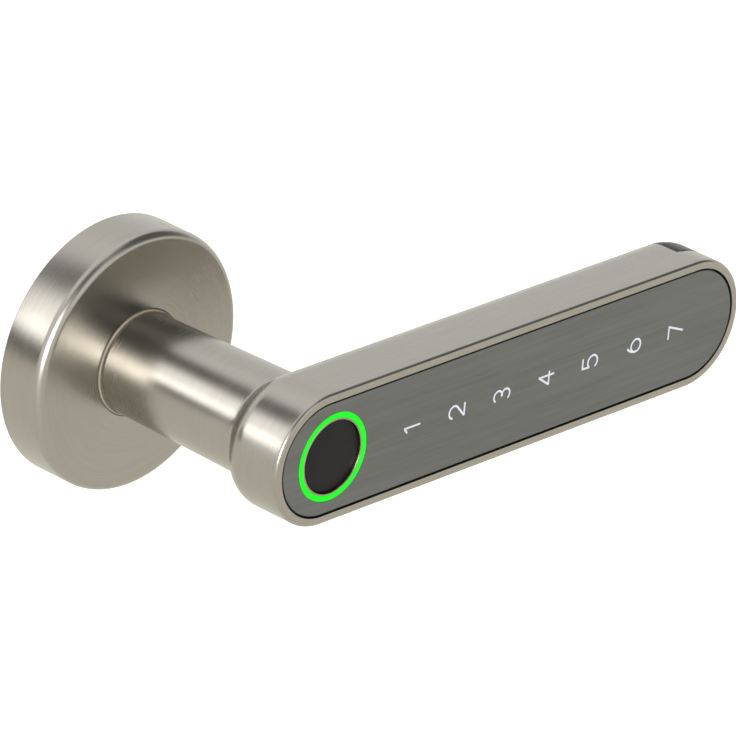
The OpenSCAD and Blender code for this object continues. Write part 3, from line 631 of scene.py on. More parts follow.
def trough(name, x0, x1, radius, low, high, rounding, round_near):
    """A long solid with a rounded back, square at its far end and round at its near end if asked."""
    flat = radius - rounding
    section = [(-radius, high)]
    for i in range(9):
        a = math.radians(90 * i / 8)
        section.append((-flat - rounding * math.cos(a), low + rounding - rounding * math.sin(a)))
    section += [(-up, out) for up, out in reversed(section)]
    count = len(section)
    points = [(x, up, out) for x in (x0, x1) for up, out in section]
    faces = [tuple(range(count)), tuple(count + k for k in range(count))]
    faces += [(k, (k + 1) % count, count + (k + 1) % count, count + k) for k in range(count)]
    bar = make_mesh(name, points, faces)
    if round_near:
        outline = [(0, low)] + [(up, out) for up, out in section if up > 0] + [(0, high)]
        carve(bar, [lathe("bow", outline, steps=64, centre=(x0, 0), start=90, sweep=180)], "UNION")
    return bar


cap_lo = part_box("battery_cap")[0]
cap_edge_x = tip_x + 1
cap_edge_out = -cap_lo.y / MM + 0.3
lever = lever_skin()
cavity_low = back + wall
groove_in, groove_out = journal_r - 0.6, journal_r + 1
cutters = [
    trough("cavity", heel_x, cap_edge_x + 2, end_r - wall, cavity_low, pocket_floor + 0.5,
           back_r - wall, True),
    block("cap seat", (cap_edge_x, -end_r - 1, back - 1), (tip_x + end_r + 1, end_r + 1, cap_edge_out)),
    lathe("bore", [(0, -1), (bore_r, -1), (bore_r, cavity_low + 1), (0, cavity_low + 1)], steps=96),
    lathe("clip groove", [(groove_in, 1.45), (groove_out, 1.45), (groove_out, 2.55), (groove_in, 2.55)],
          steps=96),
    lathe("hub groove", [(0, 0.9), (bore_r + 0.5, 0.9), (bore_r + 0.5, 1.6), (0, 1.6)], steps=96),
    block("lug slot", (-journal_r - 1, -2.5, -1), (journal_r + 1, 2.5, 4.9)),
]
magnet_x = tip_x + 5.5
magnet_up = 7
magnet_hole_r = 2.1
for side in (-1, 1):
    cutters.append(lathe("magnet hole", [
        (0, cap_edge_out + 0.5), (magnet_hole_r, cap_edge_out + 0.5), (magnet_hole_r, pocket_floor + 1),
        (0, pocket_floor + 1)], steps=40, centre=(magnet_x, side * magnet_up)))
carve(lever, cutters)
belted_nickel = satin_nickel("satin nickel belted", near=heel_x * MM, far=tip_x * MM)
lever.data.materials.clear()
lever.data.materials.append(turned_nickel)
lever.data.materials.append(belted_nickel)
for face in lever.data.polygons:
    face.material_index = 1 if -face.center.y / MM > back - 1.5 else 0
fit(lever, "lever", [], ["lever_body"])


# ---- Face panel and digits ----
# A thin plate of dark anodised aluminium, belted lengthways, with a hole for the reader and
# seven engraved digits, which are filled with clear resin and lit from behind.

def dark_anodised():
    material, tree, shader = start_material("anodised panel", Metallic=0.9)
    place = put(tree, "ShaderNodeTexCoord").outputs["Object"]

    def streaks(across, along, detail):
        stretch = {"Vector": place, "Scale": (along, across, across)}
        stretched = put(tree, "ShaderNodeMapping", stretch).outputs[0]
        noise = put(tree, "ShaderNodeTexNoise", {"Vector": stretched, "Scale": 1.0, "Detail": detail})
        return noise.outputs["Fac"]

    lines = streaks(9000, 130, 3.0)
    bands = streaks(900, 28, 4.0)
    soft = use_group(tree, grain, Fine=3000.0, Broad=30.0)
    colour = blend_colours(tree, span(tree, bands, 0, 1), (0.134, 0.139, 0.137), (0.166, 0.171, 0.169))
    colour = blend_colours(tree, span(tree, lines, 0, 0.5, 0.35, 0.7), colour, (0.205, 0.21, 0.207))
    film = span(tree, soft["Patches"], 0.33, 0.41, 0, 1)
    rough = put(tree, "ShaderNodeMath", {0: lines, 1: 0.15, 2: film}, operation="MULTIPLY_ADD")
    surface(tree, shader, colour, rough.outputs[0], lines, 0.5, 0.000008)
    return material


def lit_resin(name, colour, strength, patches=0.12):
    """Clear resin lit from behind, a little brighter where the light sits close under it."""
    material, tree, shader = start_material(
        name, Roughness=0.45, Specular_IOR_Level=0.1, Emission_Strength=strength)
    soft = use_group(tree, grain, Fine=1500.0, Broad=160.0)
    dim = tuple(v * (1 - patches) for v in colour)
    glow = blend_colours(tree, span(tree, soft["Patches"], 0, 1), dim, colour)
    tree.links.new(glow, shader.inputs["Emission Color"])
    dark, light = (tuple(share * v for v in colour) for share in (0.1, 0.16))
    tinted = blend_colours(tree, soft["Grain"], dark, light)
    tree.links.new(tinted, shader.inputs["Base Color"])
    return material


def finish_node(node, material):
    """Gives a CAD node, whose shape is right as it is, its own finish."""
    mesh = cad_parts[node].data
    mesh.materials.clear()
    mesh.materials.append(material)


finish_node("face_panel", dark_anodised())
finish_node("digit_inlays", lit_resin("lit white", (0.86, 0.88, 0.95), 0.8))


# ---- Fingerprint reader ----
# A green light ring round a thin metal bezel, and inside it the black sensing disc, set back
# from the face. Ring and disc drop into the panel's hole from behind.

ring_lo, ring_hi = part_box("light_ring")
bezel_lo, bezel_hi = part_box("sensor_bezel")
disc_lo, disc_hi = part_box("fingerprint_sensor")
ring_r, bezel_r, disc_r = (hi.x / MM for hi in (ring_hi, bezel_hi, disc_hi))
light_ring = lathe("light_ring_body", rounded([
    (bezel_r + 0.02, -ring_hi.y / MM, 0), (ring_r, -ring_hi.y / MM, 0), (ring_r, -ring_lo.y / MM, 0.2),
    (bezel_r + 0.02, -ring_lo.y / MM, 0.12)], steps=5), steps=128)
fit(light_ring, "lever", [lit_resin("lit green", (0.012, 0.93, 0.02), 1.0)], ["light_ring"])


def pale_bezel():
    material, tree, shader = start_material("bezel metal", Metallic=1.0)
    lines = use_group(tree, brushing, Fine=12000.0)
    colour = blend_colours(tree, lines["Streaks"], (0.28, 0.235, 0.19), (0.44, 0.375, 0.31))
    tree.links.new(colour, shader.inputs["Base Color"])
    tree.links.new(span(tree, lines["Lines"], 0.18, 0.3, 0, 1), shader.inputs["Roughness"])
    return material


bezel = lathe("sensor_bezel_ring", rounded([
    (disc_r + 0.02, -bezel_hi.y / MM, 0), (bezel_r, -bezel_hi.y / MM, 0), (bezel_r, -bezel_lo.y / MM, 0.15),
    (disc_r + 0.02, -bezel_lo.y / MM, 0.15)], steps=5), steps=128)
fit(bezel, "lever", [pale_bezel()], ["sensor_bezel"])


def sensing_glass():
    """Matt black glass with the faint film that fingers leave."""
    material, tree, shader = start_material("sensing glass", Specular_IOR_Level=0.08)
    soft = use_group(tree, grain, Fine=6000.0, Broad=260.0)
    colour = blend_colours(tree, soft["Patches"], (0.011, 0.011, 0.011), (0.019, 0.0185, 0.0185))
    surface(tree, shader, colour, span(tree, soft["Patches"], 0.30, 0.5), soft["Grain"], 0.1, 0.000004)
    return material


disc = lathe("fingerprint_disc", rounded([
    (0, -disc_hi.y / MM, 0), (disc_r, -disc_hi.y / MM, 0), (disc_r, -disc_lo.y / MM, 0.25),
    (0, -disc_lo.y / MM, 0)], steps=5), steps=128)
fit(disc, "lever", [sensing_glass()], ["fingerprint_sensor"])


# ---- Battery cap ----
# The glossy black end piece that slides off for new cells, moulded in ABS, with a plug that
# goes into the lever, a groove for its seal and two seats for magnets.

cap_top = -cap_lo.y / MM
cap_x0 = cap_edge_x + 0.3
plug_r = end_r - wall - 0.3
plug_low = back + wall + 0.3
plug_rounding = back_r - wall - 0.3
cap_section = [(0, back)] + [(s, back + stand_off(s)) for s in half_section()[1:]] + [
    (end_r, cap_top - 0.15), (end_r - 0.15, cap_top), (0, cap_top)]
cap = trough("battery_cap_shell", cap_x0, tip_x + 0.01, end_r, back, cap_top, back_r, False)
plug = trough("plug", cap_lo.x / MM, cap_x0 + 1, plug_r, plug_low, cap_top, plug_rounding, False)
deep = 0.9   # depth of the seal's groove
band = trough("band", cap_edge_x - 1.6, cap_edge_x - 0.6, plug_r + 1, plug_low - 1, cap_top + 1,
              plug_rounding + 1, False)
core = trough("core", cap_edge_x - 2, cap_edge_x, plug_r - deep, plug_low + deep, cap_top - deep,
              plug_rounding - deep, False)
carve(band, [core])
carve(plug, [band])
carve(cap, [lathe("cap bow", cap_section, steps=80, centre=(tip_x, 0), start=-90, sweep=180), plug], "UNION")
seat = [(0, cap_top - 1.6), (magnet_hole_r, cap_top - 1.6), (magnet_hole_r, front), (0, front)]
carve(cap, [block("pocket", (cap_x0 + 2, -3.8, back + wall), (cap_x0 + end_r - 5.5, 3.8, front))] + [
    lathe("magnet seat", seat, steps=40, centre=(magnet_x, side * magnet_up)) for side in (-1, 1)])
cap_abs = moulded("cap black", (0.009, 0.009, 0.010), rough=0.24, shine=0.12)
fit(cap, "battery_cap", [cap_abs], ["battery_cap"])


# ---- Castings of the rose ----
# Two plates of die-cast zinc stand behind the cover: the base that bolts to the door, and the
# bearing plate whose hub holds the bush. Their edges are soft and their faces a little grainy.

def worked_metal(name, low, high, rough, fine=3500.0, broad=70.0, depth=0.000012):
    """Bare or plated metal with its grain, soft patches of film and brighter worn edges."""
    material, tree, shader = start_material(name, Metallic=1.0)
    soft = use_group(tree, grain, Fine=fine, Broad=broad)
    edge = use_group(tree, wear, Reach=0.00025)["Edge"]
    colour = blend_colours(tree, span(tree, soft["Patches"], 0, 1), low, high)
    colour = blend_colours(tree, edge, colour, tuple(min(0.95, 1.35 * v) for v in high))
    matt = span(tree, soft["Grain"], rough - 0.06, rough + 0.1)
    surface(tree, shader, colour, matt, soft["Grain"], 0.5, depth)
    return material


def from_cad(node, edge):
    """A piece on a CAD node's exact shape, with its flat faces made whole and its edges broken."""
    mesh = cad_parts[node].data.copy()
    shell = bmesh.new()
    shell.from_mesh(mesh)
    bmesh.ops.remove_doubles(shell, verts=shell.verts, dist=2e-6)
    bmesh.ops.dissolve_limit(shell, angle_limit=math.radians(1), verts=shell.verts, edges=shell.edges)
    bmesh.ops.recalc_face_normals(shell, faces=shell.faces)
    shell.to_mesh(mesh)
    shell.free()
    mesh.materials.clear()
    piece = bpy.data.objects.new(node + "_piece", mesh)
    bpy.context.scene.collection.objects.link(piece)
    soften = piece.modifiers.new("broken edges", "BEVEL")
    soften.width = edge * MM
    soften.segments = 2
    soften.limit_method = "ANGLE"
    soften.angle_limit = math.radians(30)
    soften.use_clamp_overlap = True
    settle(piece)
    return piece


zinc = worked_metal("cast zinc", (0.30, 0.31, 0.325), (0.40, 0.41, 0.42), rough=0.48, depth=0.00003)
for node, edge in (("mounting_plate", 0.25), ("bearing_plate", 0.2)):
    fit(from_cad(node, edge), "rose", [zinc], [node])


# ---- Screws and posts of the rose ----
# Turned steel, bright zinc-plated: three countersunk screws with hexagon sockets round the
# bearing plate, two tapped posts for the bolts through the door, and the cover's grub screw.

def geometry_tree(name, inputs):
    """An empty Geometry Nodes tree with a geometry in and out, and its named inputs."""
    tree = bpy.data.node_groups.new(name, "GeometryNodeTree")
    tree.interface.new_socket("Geometry", in_out="INPUT", socket_type="NodeSocketGeometry")
    for socket, value in inputs.items():
        kind = {int: "Int", float: "Float", tuple: "Vector", type(None): "Material"}[type(value)]
        made = tree.interface.new_socket(socket, in_out="INPUT", socket_type="NodeSocket" + kind)
        if value is not None:
            made.default_value = value
    tree.interface.new_socket("Geometry", in_out="OUTPUT", socket_type="NodeSocketGeometry")
    return tree, tree.nodes.new("NodeGroupInput").outputs, tree.nodes.new("NodeGroupOutput")


def painted(tree, given, out, shape):
    """Ends a tree: one solid mesh, with the finish on every face that has no finish of its own."""
    solid = put(tree, "GeometryNodeRealizeInstances", {"Geometry": shape}).outputs[0]
    number = put(tree, "GeometryNodeInputMaterialIndex").outputs[0]
    plain = put(tree, "FunctionNodeCompare", {2: number, 3: 0}, data_type="INT", operation="EQUAL").outputs[0]
    inputs = {"Geometry": solid, "Selection": plain, "Material": given["Finish"]}
    done = put(tree, "GeometryNodeSetMaterial", inputs)
    tree.links.new(done.outputs[0], out.inputs["Geometry"])
    return tree


def copies_tree():
    """Copies of a piece, each moved by a step and turned round the neck's axis from the one before."""
    tree, given, out = geometry_tree("copies", {
        "Count": 2, "Step": (0.0, 0.0, 0.0), "Turn": 0.0, "Finish": None})
    number = put(tree, "GeometryNodeInputIndex").outputs[0]
    steps = {0: given["Step"], "Scale": number}
    place = put(tree, "ShaderNodeVectorMath", steps, operation="SCALE").outputs[0]
    turned = put(tree, "ShaderNodeMath", {0: given["Turn"], 1: number}, operation="MULTIPLY").outputs[0]
    points = put(tree, "GeometryNodePoints", {"Count": given["Count"], "Position": place}).outputs[0]
    turns = put(tree, "ShaderNodeCombineXYZ", {1: turned}).outputs[0]
    row = put(tree, "GeometryNodeInstanceOnPoints", {"Points": points, "Instance": given["Geometry"]})
    tree.links.new(turns, row.inputs["Rotation"])
    return painted(tree, given, out, row.outputs[0])


def run_nodes(piece, tree, **values):
    """Runs a tree on a piece and keeps the result as a plain mesh."""
    modifier = piece.modifiers.new("nodes", "NODES")
    modifier.node_group = tree
    for item in tree.interface.items_tree:
        if item.in_out == "INPUT" and item.name in values:
            modifier[item.identifier] = values[item.name]
    settle(piece)


def threaded(radius, depth, pitch, low, high):
    """The flank of a screw's thread from low to high, as (radius, out) points."""
    flank = []
    for i in range(int((high - low) / pitch)):
        flank += [(radius - depth, low + pitch * i + 0.05), (radius, low + pitch * (i + 0.4)),
                  (radius, low + pitch * (i + 0.6)), (radius - depth, low + pitch * (i + 0.95))]
    return flank


def joined(pieces):
    """Puts several solids into one object."""
    whole = bmesh.new()
    for piece in pieces:
        whole.from_mesh(piece.data)
    whole.to_mesh(pieces[0].data)
    whole.free()
    for piece in pieces[1:]:
        bpy.data.objects.remove(piece)
    return pieces[0]


copies = copies_tree()
bright_steel = worked_metal("zinc-plated steel", (0.50, 0.52, 0.54), (0.60, 0.62, 0.64), rough=0.27)
screws_lo, screws_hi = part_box("plate_screws")
head_out = -screws_lo.y / MM
screw_foot = -screws_hi.y / MM
screw_ring = rose_r - 7.3
screw_a = math.radians(350)
screw_at = (screw_ring * math.cos(screw_a), screw_ring * math.sin(screw_a))
shank_r = 1.2
head_r = 2.2
head_h = 1.1
key_r = 0.85
shank = threaded(shank_r, 0.2, 0.5, screw_foot + 0.3, head_out - 1.6)
screw = lathe("plate_screws_set", [(0, screw_foot), (shank_r - 0.3, screw_foot)] + shank + [
    (shank_r, head_out - head_h), (head_r, head_out - 0.12), (head_r, head_out), (0, head_out)],
    steps=48, centre=screw_at)
key_low, key_high = head_out - 1, head_out + 1
carve(screw, [lathe("key", [(0, key_low), (key_r, key_low), (key_r, key_high), (0, key_high)],
                    steps=6, centre=screw_at)])
run_nodes(screw, copies, Count=3, Turn=math.radians(120), Finish=bright_steel)
fit(screw, "rose", [], ["plate_screws"])
post_lo, post_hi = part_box("fixing_posts")
post_r = post_hi.x / MM
post_in, post_out = -post_hi.y / MM, -post_lo.y / MM
post_at = (0, post_hi.z / MM - post_r)
tap_r = 1.85
tapped = list(reversed(threaded(tap_r, 0.2, 0.7, post_in + 0.5, post_out - 0.4)))
post = lathe("fixing_posts_pair", [
    (tap_r + 0.05, post_in), (post_r - 0.4, post_in), (post_r, post_in + 0.4), (post_r, post_out - 0.2),
    (post_r - 0.2, post_out), (tap_r + 0.05, post_out)] + tapped, steps=64, centre=post_at)
run_nodes(post, copies, Count=2, Turn=math.pi, Finish=bright_steel)
fit(post, "rose", [], ["fixing_posts"])
fit(from_cad("cover_grub_screw", 0.1), "rose", [bright_steel], ["cover_grub_screw"])


# ---- Return spring ----
# A torsion spring of round drawn wire, coiled twice and a little more round the carrier, with
# one leg curled into the carrier's notch and the other curled out to a standoff.

def wire_tree():
    """A round wire along a path of edges, closed at both ends."""
    tree, given, out = geometry_tree("wire", {"Radius": 0.0005, "Sides": 16, "Finish": None})
    path = put(tree, "GeometryNodeMeshToCurve", {"Mesh": given["Geometry"]}).outputs[0]
    size = {"Resolution": given["Sides"], "Radius": given["Radius"]}
    section = put(tree, "GeometryNodeCurvePrimitiveCircle", size).outputs[0]
    inputs = {"Curve": path, "Profile Curve": section, "Fill Caps": True}
    return painted(tree, given, out, put(tree, "GeometryNodeCurveToMesh", inputs).outputs[0])


def path_of(name, points):
    """An object of edges only, from places in millimetres, for a wire to follow."""
    mesh = bpy.data.meshes.new(name)
    mesh.from_pydata([in_row(*p) for p in points], [(i, i + 1) for i in range(len(points) - 1)], [])
    piece = bpy.data.objects.new(name, mesh)
    bpy.context.scene.collection.objects.link(piece)
    return piece


wire = wire_tree()
spring_steel = worked_metal("drawn spring steel", (0.33, 0.34, 0.35), (0.46, 0.47, 0.48), rough=0.30,
                            fine=6000.0)
spring_lo, spring_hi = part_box("return_spring")
wire_r = 0.75
coil_r = 18.65
coil_low, coil_high = -spring_hi.y / MM + wire_r, -spring_lo.y / MM - wire_r
spring_path = []
spring_steps = 240
leg_in, leg_out = 2.2, 1.6   # how far the two legs curl in and out
for i in range(spring_steps + 1):
    t = i / spring_steps
    a = math.radians(10 + 810 * t)
    r = coil_r - leg_in * max(0.05 - t, 0) / 0.05 + leg_out * max(t - 0.96, 0) / 0.04
    spring_path.append((r * math.cos(a), r * math.sin(a), coil_low + (coil_high - coil_low) * t))
spring = path_of("return_spring_coil", spring_path)
run_nodes(spring, wire, Radius=wire_r * MM, Sides=20, Finish=spring_steel)
fit(spring, "rose", [], ["return_spring"])


# ---- Rings on the neck ----
# Stamped spring steel: the circlip that holds the neck, the keyed carrier with its stop tab,
# and the snap ring behind the drive hub.

stamped = worked_metal("stamped steel", (0.36, 0.37, 0.39), (0.48, 0.49, 0.50), rough=0.34,
                       fine=5000.0, broad=120.0)
for node, edge in (("neck_circlip", 0.1), ("spring_carrier", 0.15), ("hub_ring", 0.06)):
    fit(from_cad(node, edge), "lever", [stamped], [node])


# ---- Frame, light guide and keypad board ----
# A black moulded frame carries the panel. Behind it lie a frosted acrylic sheet, and the touch
# board with a copper pad and a light for each digit.

def frosted(name, colour):
    """Clear acrylic with a frosted face."""
    material, tree, shader = start_material(name, Transmission_Weight=0.75, IOR=1.49)
    soft = use_group(tree, grain, Fine=5000.0, Broad=80.0)
    tinted = blend_colours(tree, soft["Patches"], tuple(0.92 * v for v in colour), colour)
    surface(tree, shader, tinted, span(tree, soft["Grain"], 0.3, 0.5), soft["Grain"], 0.3, 0.00001)
    return material


def solder_mask():
    """Green mask over copper tracks on a glass-fibre board, whose cut edges stay pale."""
    material, tree, shader = start_material("board", Coat_Weight=0.4)
    place = put(tree, "ShaderNodeTexCoord").outputs["Object"]
    flat = put(tree, "ShaderNodeMapping", {"Vector": place, "Rotation": (math.pi / 2, 0, 0)}).outputs[0]
    layout = {"Vector": flat, "Scale": 420.0, "Randomness": 0.55}
    gaps = put(tree, "ShaderNodeTexVoronoi", layout, feature="DISTANCE_TO_EDGE", voronoi_dimensions="2D")
    tracks = span(tree, gaps.outputs["Distance"], 1.0, 0.0, 0.05, 0.09)
    spots = put(tree, "ShaderNodeTexVoronoi", layout, voronoi_dimensions="2D")
    pads = span(tree, spots.outputs["Distance"], 1.0, 0.0, 0.10, 0.13)
    soft = use_group(tree, grain, Fine=4000.0, Broad=150.0)
    colour = blend_colours(tree, soft["Patches"], (0.010, 0.085, 0.040), (0.016, 0.120, 0.058))
    colour = blend_colours(tree, tracks, colour, (0.030, 0.200, 0.095))
    colour = blend_colours(tree, pads, colour, (0.60, 0.56, 0.40))
    normal = put(tree, "ShaderNodeTexCoord").outputs["Normal"]
    outwards = put(tree, "ShaderNodeSeparateXYZ", {0: normal}).outputs[1]
    facing = put(tree, "ShaderNodeMath", {0: outwards}, operation="ABSOLUTE").outputs[0]
    side = put(tree, "ShaderNodeMath", {0: facing, 1: 0.5}, operation="LESS_THAN").outputs[0]
    colour = blend_colours(tree, side, colour, (0.42, 0.40, 0.24))
    surface(tree, shader, colour, span(tree, soft["Grain"], 0.3, 0.42), tracks, 0.5, 0.00003)
    return material


black_moulding = moulded("black moulding", (0.022, 0.022, 0.023), rough=0.5, depth=0.00002)
fit(from_cad("panel_frame", 0.12), "lever", [black_moulding], ["panel_frame"])
acrylic = frosted("frosted acrylic", (0.86, 0.88, 0.89))
fit(from_cad("light_guide", 0.05), "lever", [acrylic], ["light_guide"])
board = solder_mask()
fit(from_cad("keypad_board", 0.04), "lever", [board], ["keypad_board"])
copper = worked_metal("copper pad", (0.55, 0.27, 0.13), (0.72, 0.40, 0.22), rough=0.3, broad=200.0)
digit_x = 24.2
digit_pitch = 14.1
digit_count = 7
pads_lo, pads_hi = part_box("touch_pads")
pad_half = (digit_x - pads_lo.x / MM, pads_hi.z / MM)
pad_low, pad_high = -pads_hi.y / MM, -pads_lo.y / MM


def soft_block(name, lo, hi, edge):
    """A block with broken edges."""
    solid = block(name, lo, hi)
    shell = bmesh.new()
    shell.from_mesh(solid.data)
    bmesh.ops.bevel(shell, geom=shell.edges, offset=edge * MM, segments=2, profile=0.5, affect="EDGES")
    bmesh.ops.recalc_face_normals(shell, faces=shell.faces)
    shell.to_mesh(solid.data)
    shell.free()
    return solid


pad = soft_block("touch_pads_row", (digit_x - pad_half[0], -pad_half[1], pad_low),
                 (digit_x + pad_half[0], pad_half[1], pad_high), 0.05)
carve(pad, [block("window", (digit_x - 2.5, -2.5, pad_low - 1), (digit_x + 2.5, 2.5, pad_high + 1))])
run_nodes(pad, copies, Count=digit_count, Step=(digit_pitch * MM, 0, 0), Finish=copper)
fit(pad, "lever", [], ["touch_pads"])


def led_pieces(name, x, low, size, lens_finish, finish):
    """A light's package with its two solder ends, and a raised lens with a finish of its own."""
    w, h, t = size
    lip = 0.02   # how far the solder ends stand past the package
    package = soft_block(name, (x - w / 2, -h / 2, low), (x + w / 2, h / 2, low + t * 0.8), 0.05)
    lens = soft_block("lens", (x - w * 0.36, -h * 0.3, low + t * 0.75),
                      (x + w * 0.36, h * 0.3, low + t), 0.06)
    half = w / 2 + 0.01
    ends = []
    for near, far in ((-h / 2 - lip, -h / 2 + 0.25), (h / 2 - 0.25, h / 2 + lip)):
        ends.append(soft_block("end", (x - half, near, low), (x + half, far, low + t * 0.5), 0.03))
    for part, number in ((lens, 1), (ends[0], 2), (ends[1], 2)):
        for face in part.data.polygons:
            face.material_index = number
    for material in (finish, lens_finish, bright_steel):
        package.data.materials.append(material)
    return joined([package, lens, *ends])


led_white = moulded("led package", (0.80, 0.79, 0.74), rough=0.35)
lens_glow = lit_resin("led lens", (0.95, 0.93, 0.80), 0.5)
leds_lo, leds_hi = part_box("backlight_leds")
led_size = (1.6, (leds_hi.z - leds_lo.z) / MM - 0.05, (leds_hi.y - leds_lo.y) / MM)
led = led_pieces("backlight_leds_row", digit_x, -leds_hi.y / MM, led_size, lens_glow, led_white)
run_nodes(led, copies, Count=digit_count, Step=(digit_pitch * MM, 0, 0), Finish=led_white)
fit(led, "lever", [], ["backlight_leds"])


# ---- Boards in the head ----
# The reader's round board with six green lights under the ring, the control board with its
# chips in the lever's head, and the ivory plug that joins the two.

fit(from_cad("sensor_board", 0.04), "lever", [board], ["sensor_board"])
fit(from_cad("main_board", 0.04), "lever", [board], ["main_board"])
ring_leds_lo, ring_leds_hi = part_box("ring_leds")
lens_green = lit_resin("green led lens", (0.10, 0.90, 0.12), 0.6)
ring_led_size = (0.96, 1.5, (ring_leds_hi.y - ring_leds_lo.y) / MM)
ring_led = led_pieces("ring_leds_set", (ring_r + bezel_r) / 2, -ring_leds_hi.y / MM, ring_led_size,
                      lens_green, led_white)
run_nodes(ring_led, copies, Count=6, Turn=math.radians(60), Finish=led_white)
fit(ring_led, "lever", [], ["ring_leds"])

chip_black = moulded("chip epoxy", (0.020, 0.020, 0.021), rough=0.55, fine=7000.0)
tinned = worked_metal("tinned lead", (0.55, 0.55, 0.54), (0.68, 0.68, 0.66), rough=0.3)
chips = from_cad("board_chips", 0.12)
chips.data.materials.append(chip_black)
chips_low = -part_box("board_chips")[1].y / MM
leg = soft_block("legs", (3.45, -2.6, chips_low), (3.95, -2.4, chips_low + 0.35), 0.04)
run_nodes(leg, copies, Count=11, Step=(0, 0, 0.5 * MM), Finish=tinned)
run_nodes(leg, copies, Count=4, Turn=math.pi / 2, Finish=tinned)
for face in leg.data.polygons:
    face.material_index = 1
chips.data.materials.append(tinned)
fit(joined([chips, leg]), "lever", [], ["board_chips"])
link_lo, link_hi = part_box("board_link")
link = from_cad("board_link", 0.15)
link.data.materials.append(moulded("ivory plug", (0.62, 0.57, 0.44), rough=0.4))
rib = soft_block("ribs", (link_lo.x / MM + 0.35, link_hi.z / MM - 0.05, -link_hi.y / MM + 0.3),
                 (link_lo.x / MM + 0.65, link_hi.z / MM + 0.08, -link_lo.y / MM - 0.3), 0.04)
run_nodes(rib, copies, Count=5, Step=(0.62 * MM, 0, 0), Finish=tinned)
for face in rib.data.polygons:
    face.material_index = 1
link.data.materials.append(tinned)
fit(joined([link, rib]), "lever", [], ["board_link"])


# ---- Cells, tray and contacts ----
# Four slim cells in two rows lie in a black moulded tray. Each has a wrapped steel can with a
# nub, and each row is pressed by a conical wire spring on a plated disc.

fit(from_cad("battery_tray", 0.2), "lever", [black_moulding], ["battery_tray"])
cells_lo, cells_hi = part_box("battery_cells")
cell_r = 5.25
cell_len = 44.5
nub_r = 1.9
band_start = 36
cell_up = cells_hi.z / MM - cell_r
cell_out = -cells_lo.y / MM - cell_r
cells_x0, cells_x1 = cells_lo.x / MM, cells_hi.x / MM
cell_can = worked_metal("cell can", (0.58, 0.58, 0.57), (0.70, 0.70, 0.68), rough=0.24)


def cell_wrap():
    """A dark shrunk film with a copper-coloured band at the nub's end of each cell."""
    material, tree, shader = start_material("cell wrap", Coat_Weight=0.5)
    band = put(tree, "ShaderNodeAttribute", attribute_name="band").outputs["Fac"]
    soft = use_group(tree, grain, Fine=3000.0, Broad=120.0)
    colour = blend_colours(tree, soft["Patches"], (0.016, 0.018, 0.024), (0.030, 0.033, 0.042))
    colour = blend_colours(tree, band, colour, (0.42, 0.19, 0.07))
    surface(tree, shader, colour, span(tree, soft["Grain"], 0.2, 0.32), soft["Patches"], 0.3, 0.00004)
    return material


def cell_from(start, end, up):
    """One cell along the lever, with its nub at the end."""
    wrap_end = cell_len - 0.95
    can_end = cell_len - 0.8
    outline = rounded([
        (0, 0, 0), (3.6, 0, 0), (3.6, 0.12, 0), (cell_r, 0.12, 0.5), (cell_r, 8, 0), (cell_r, band_start, 0),
        (cell_r, wrap_end, 0.5), (4.2, wrap_end, 0.1), (3.9, can_end, 0.1), (nub_r, can_end, 0.2),
        (nub_r, cell_len, 0.3), (0, cell_len, 0)], steps=4)
    cell = lathe("battery_cells_pack", outline, steps=64)
    band = cell.data.attributes.new("band", "FLOAT", "POINT")
    for vertex, value in zip(cell.data.vertices, band.data):
        value.value = 1.0 if -vertex.co.y / MM > band_start - 0.1 else 0.0
    for face in cell.data.polygons:
        reach = math.hypot(face.center.x, face.center.z) / MM
        face.material_index = 1 if reach < 4.15 else 0
    heading = 1 if end > start else -1
    turn = Matrix.Rotation(math.pi / 2 * heading, 4, "Z")
    cell.data.transform(Matrix.Translation(in_row(start, up, cell_out)) @ turn)
    return cell


wrap = cell_wrap()
cells = joined([cell_from(cells_x0, cells_x0 + cell_len, cell_up),
                cell_from(cells_x1, cells_x1 - cell_len, -cell_up)])
cells.data.materials.append(wrap)
cells.data.materials.append(cell_can)
far = cells.copy()
far.data = cells.data.copy()
bpy.context.scene.collection.objects.link(far)
pitch = cell_len + 0.05
for piece, side in ((cells, 1), (far, -1)):
    shell = bmesh.new()
    shell.from_mesh(piece.data)
    gone = [v for v in shell.verts if v.co.z * side < 0]
    bmesh.ops.delete(shell, geom=gone, context="VERTS")
    shell.to_mesh(piece.data)
    shell.free()
    run_nodes(piece, copies, Count=2, Step=(side * pitch * MM, 0, 0), Finish=wrap)
fit(joined([cells, far]), "lever", [], ["battery_cells"])

contact_steel = worked_metal("plated contact", (0.58, 0.55, 0.45), (0.72, 0.69, 0.58), rough=0.26)
disc_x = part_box("contact_springs")[0].x / MM
coil = []
coil_turns = 4
coil_steps = 30 * coil_turns
for i in range(coil_steps + 1):
    t = i / coil_steps
    a = 2 * math.pi * coil_turns * t
    r = 3.2 - 1.05 * t
    coil.append((disc_x + 0.55 + 1.15 * t, cell_up + r * math.cos(a), cell_out + r * math.sin(a)))
contact = path_of("contact_springs_pair", coil)
run_nodes(contact, wire, Radius=0.28 * MM, Sides=12, Finish=contact_steel)
plate = lathe("plate", rounded([(0, 0, 0), (3.8, 0, 0.1), (3.8, 0.4, 0.1), (0, 0.4, 0)], steps=3), steps=48)
quarter = Matrix.Rotation(math.pi / 2, 4, "Z")
plate.data.transform(Matrix.Translation(in_row(disc_x, cell_up, cell_out)) @ quarter)
contact = joined([contact, plate])
run_nodes(contact, copies, Count=2, Step=(0, 0, -2 * cell_up * MM), Finish=contact_steel)
fit(contact, "lever", [], ["contact_springs"])
fit(from_cad("cap_contact_plate", 0.08), "battery_cap", [contact_steel], ["cap_contact_plate"])


# ---- Seal and magnets ----
# A black rubber band in the cap's groove, and four nickel-plated disc magnets, two in the cap
# and two in the lever, that hold the cap on.

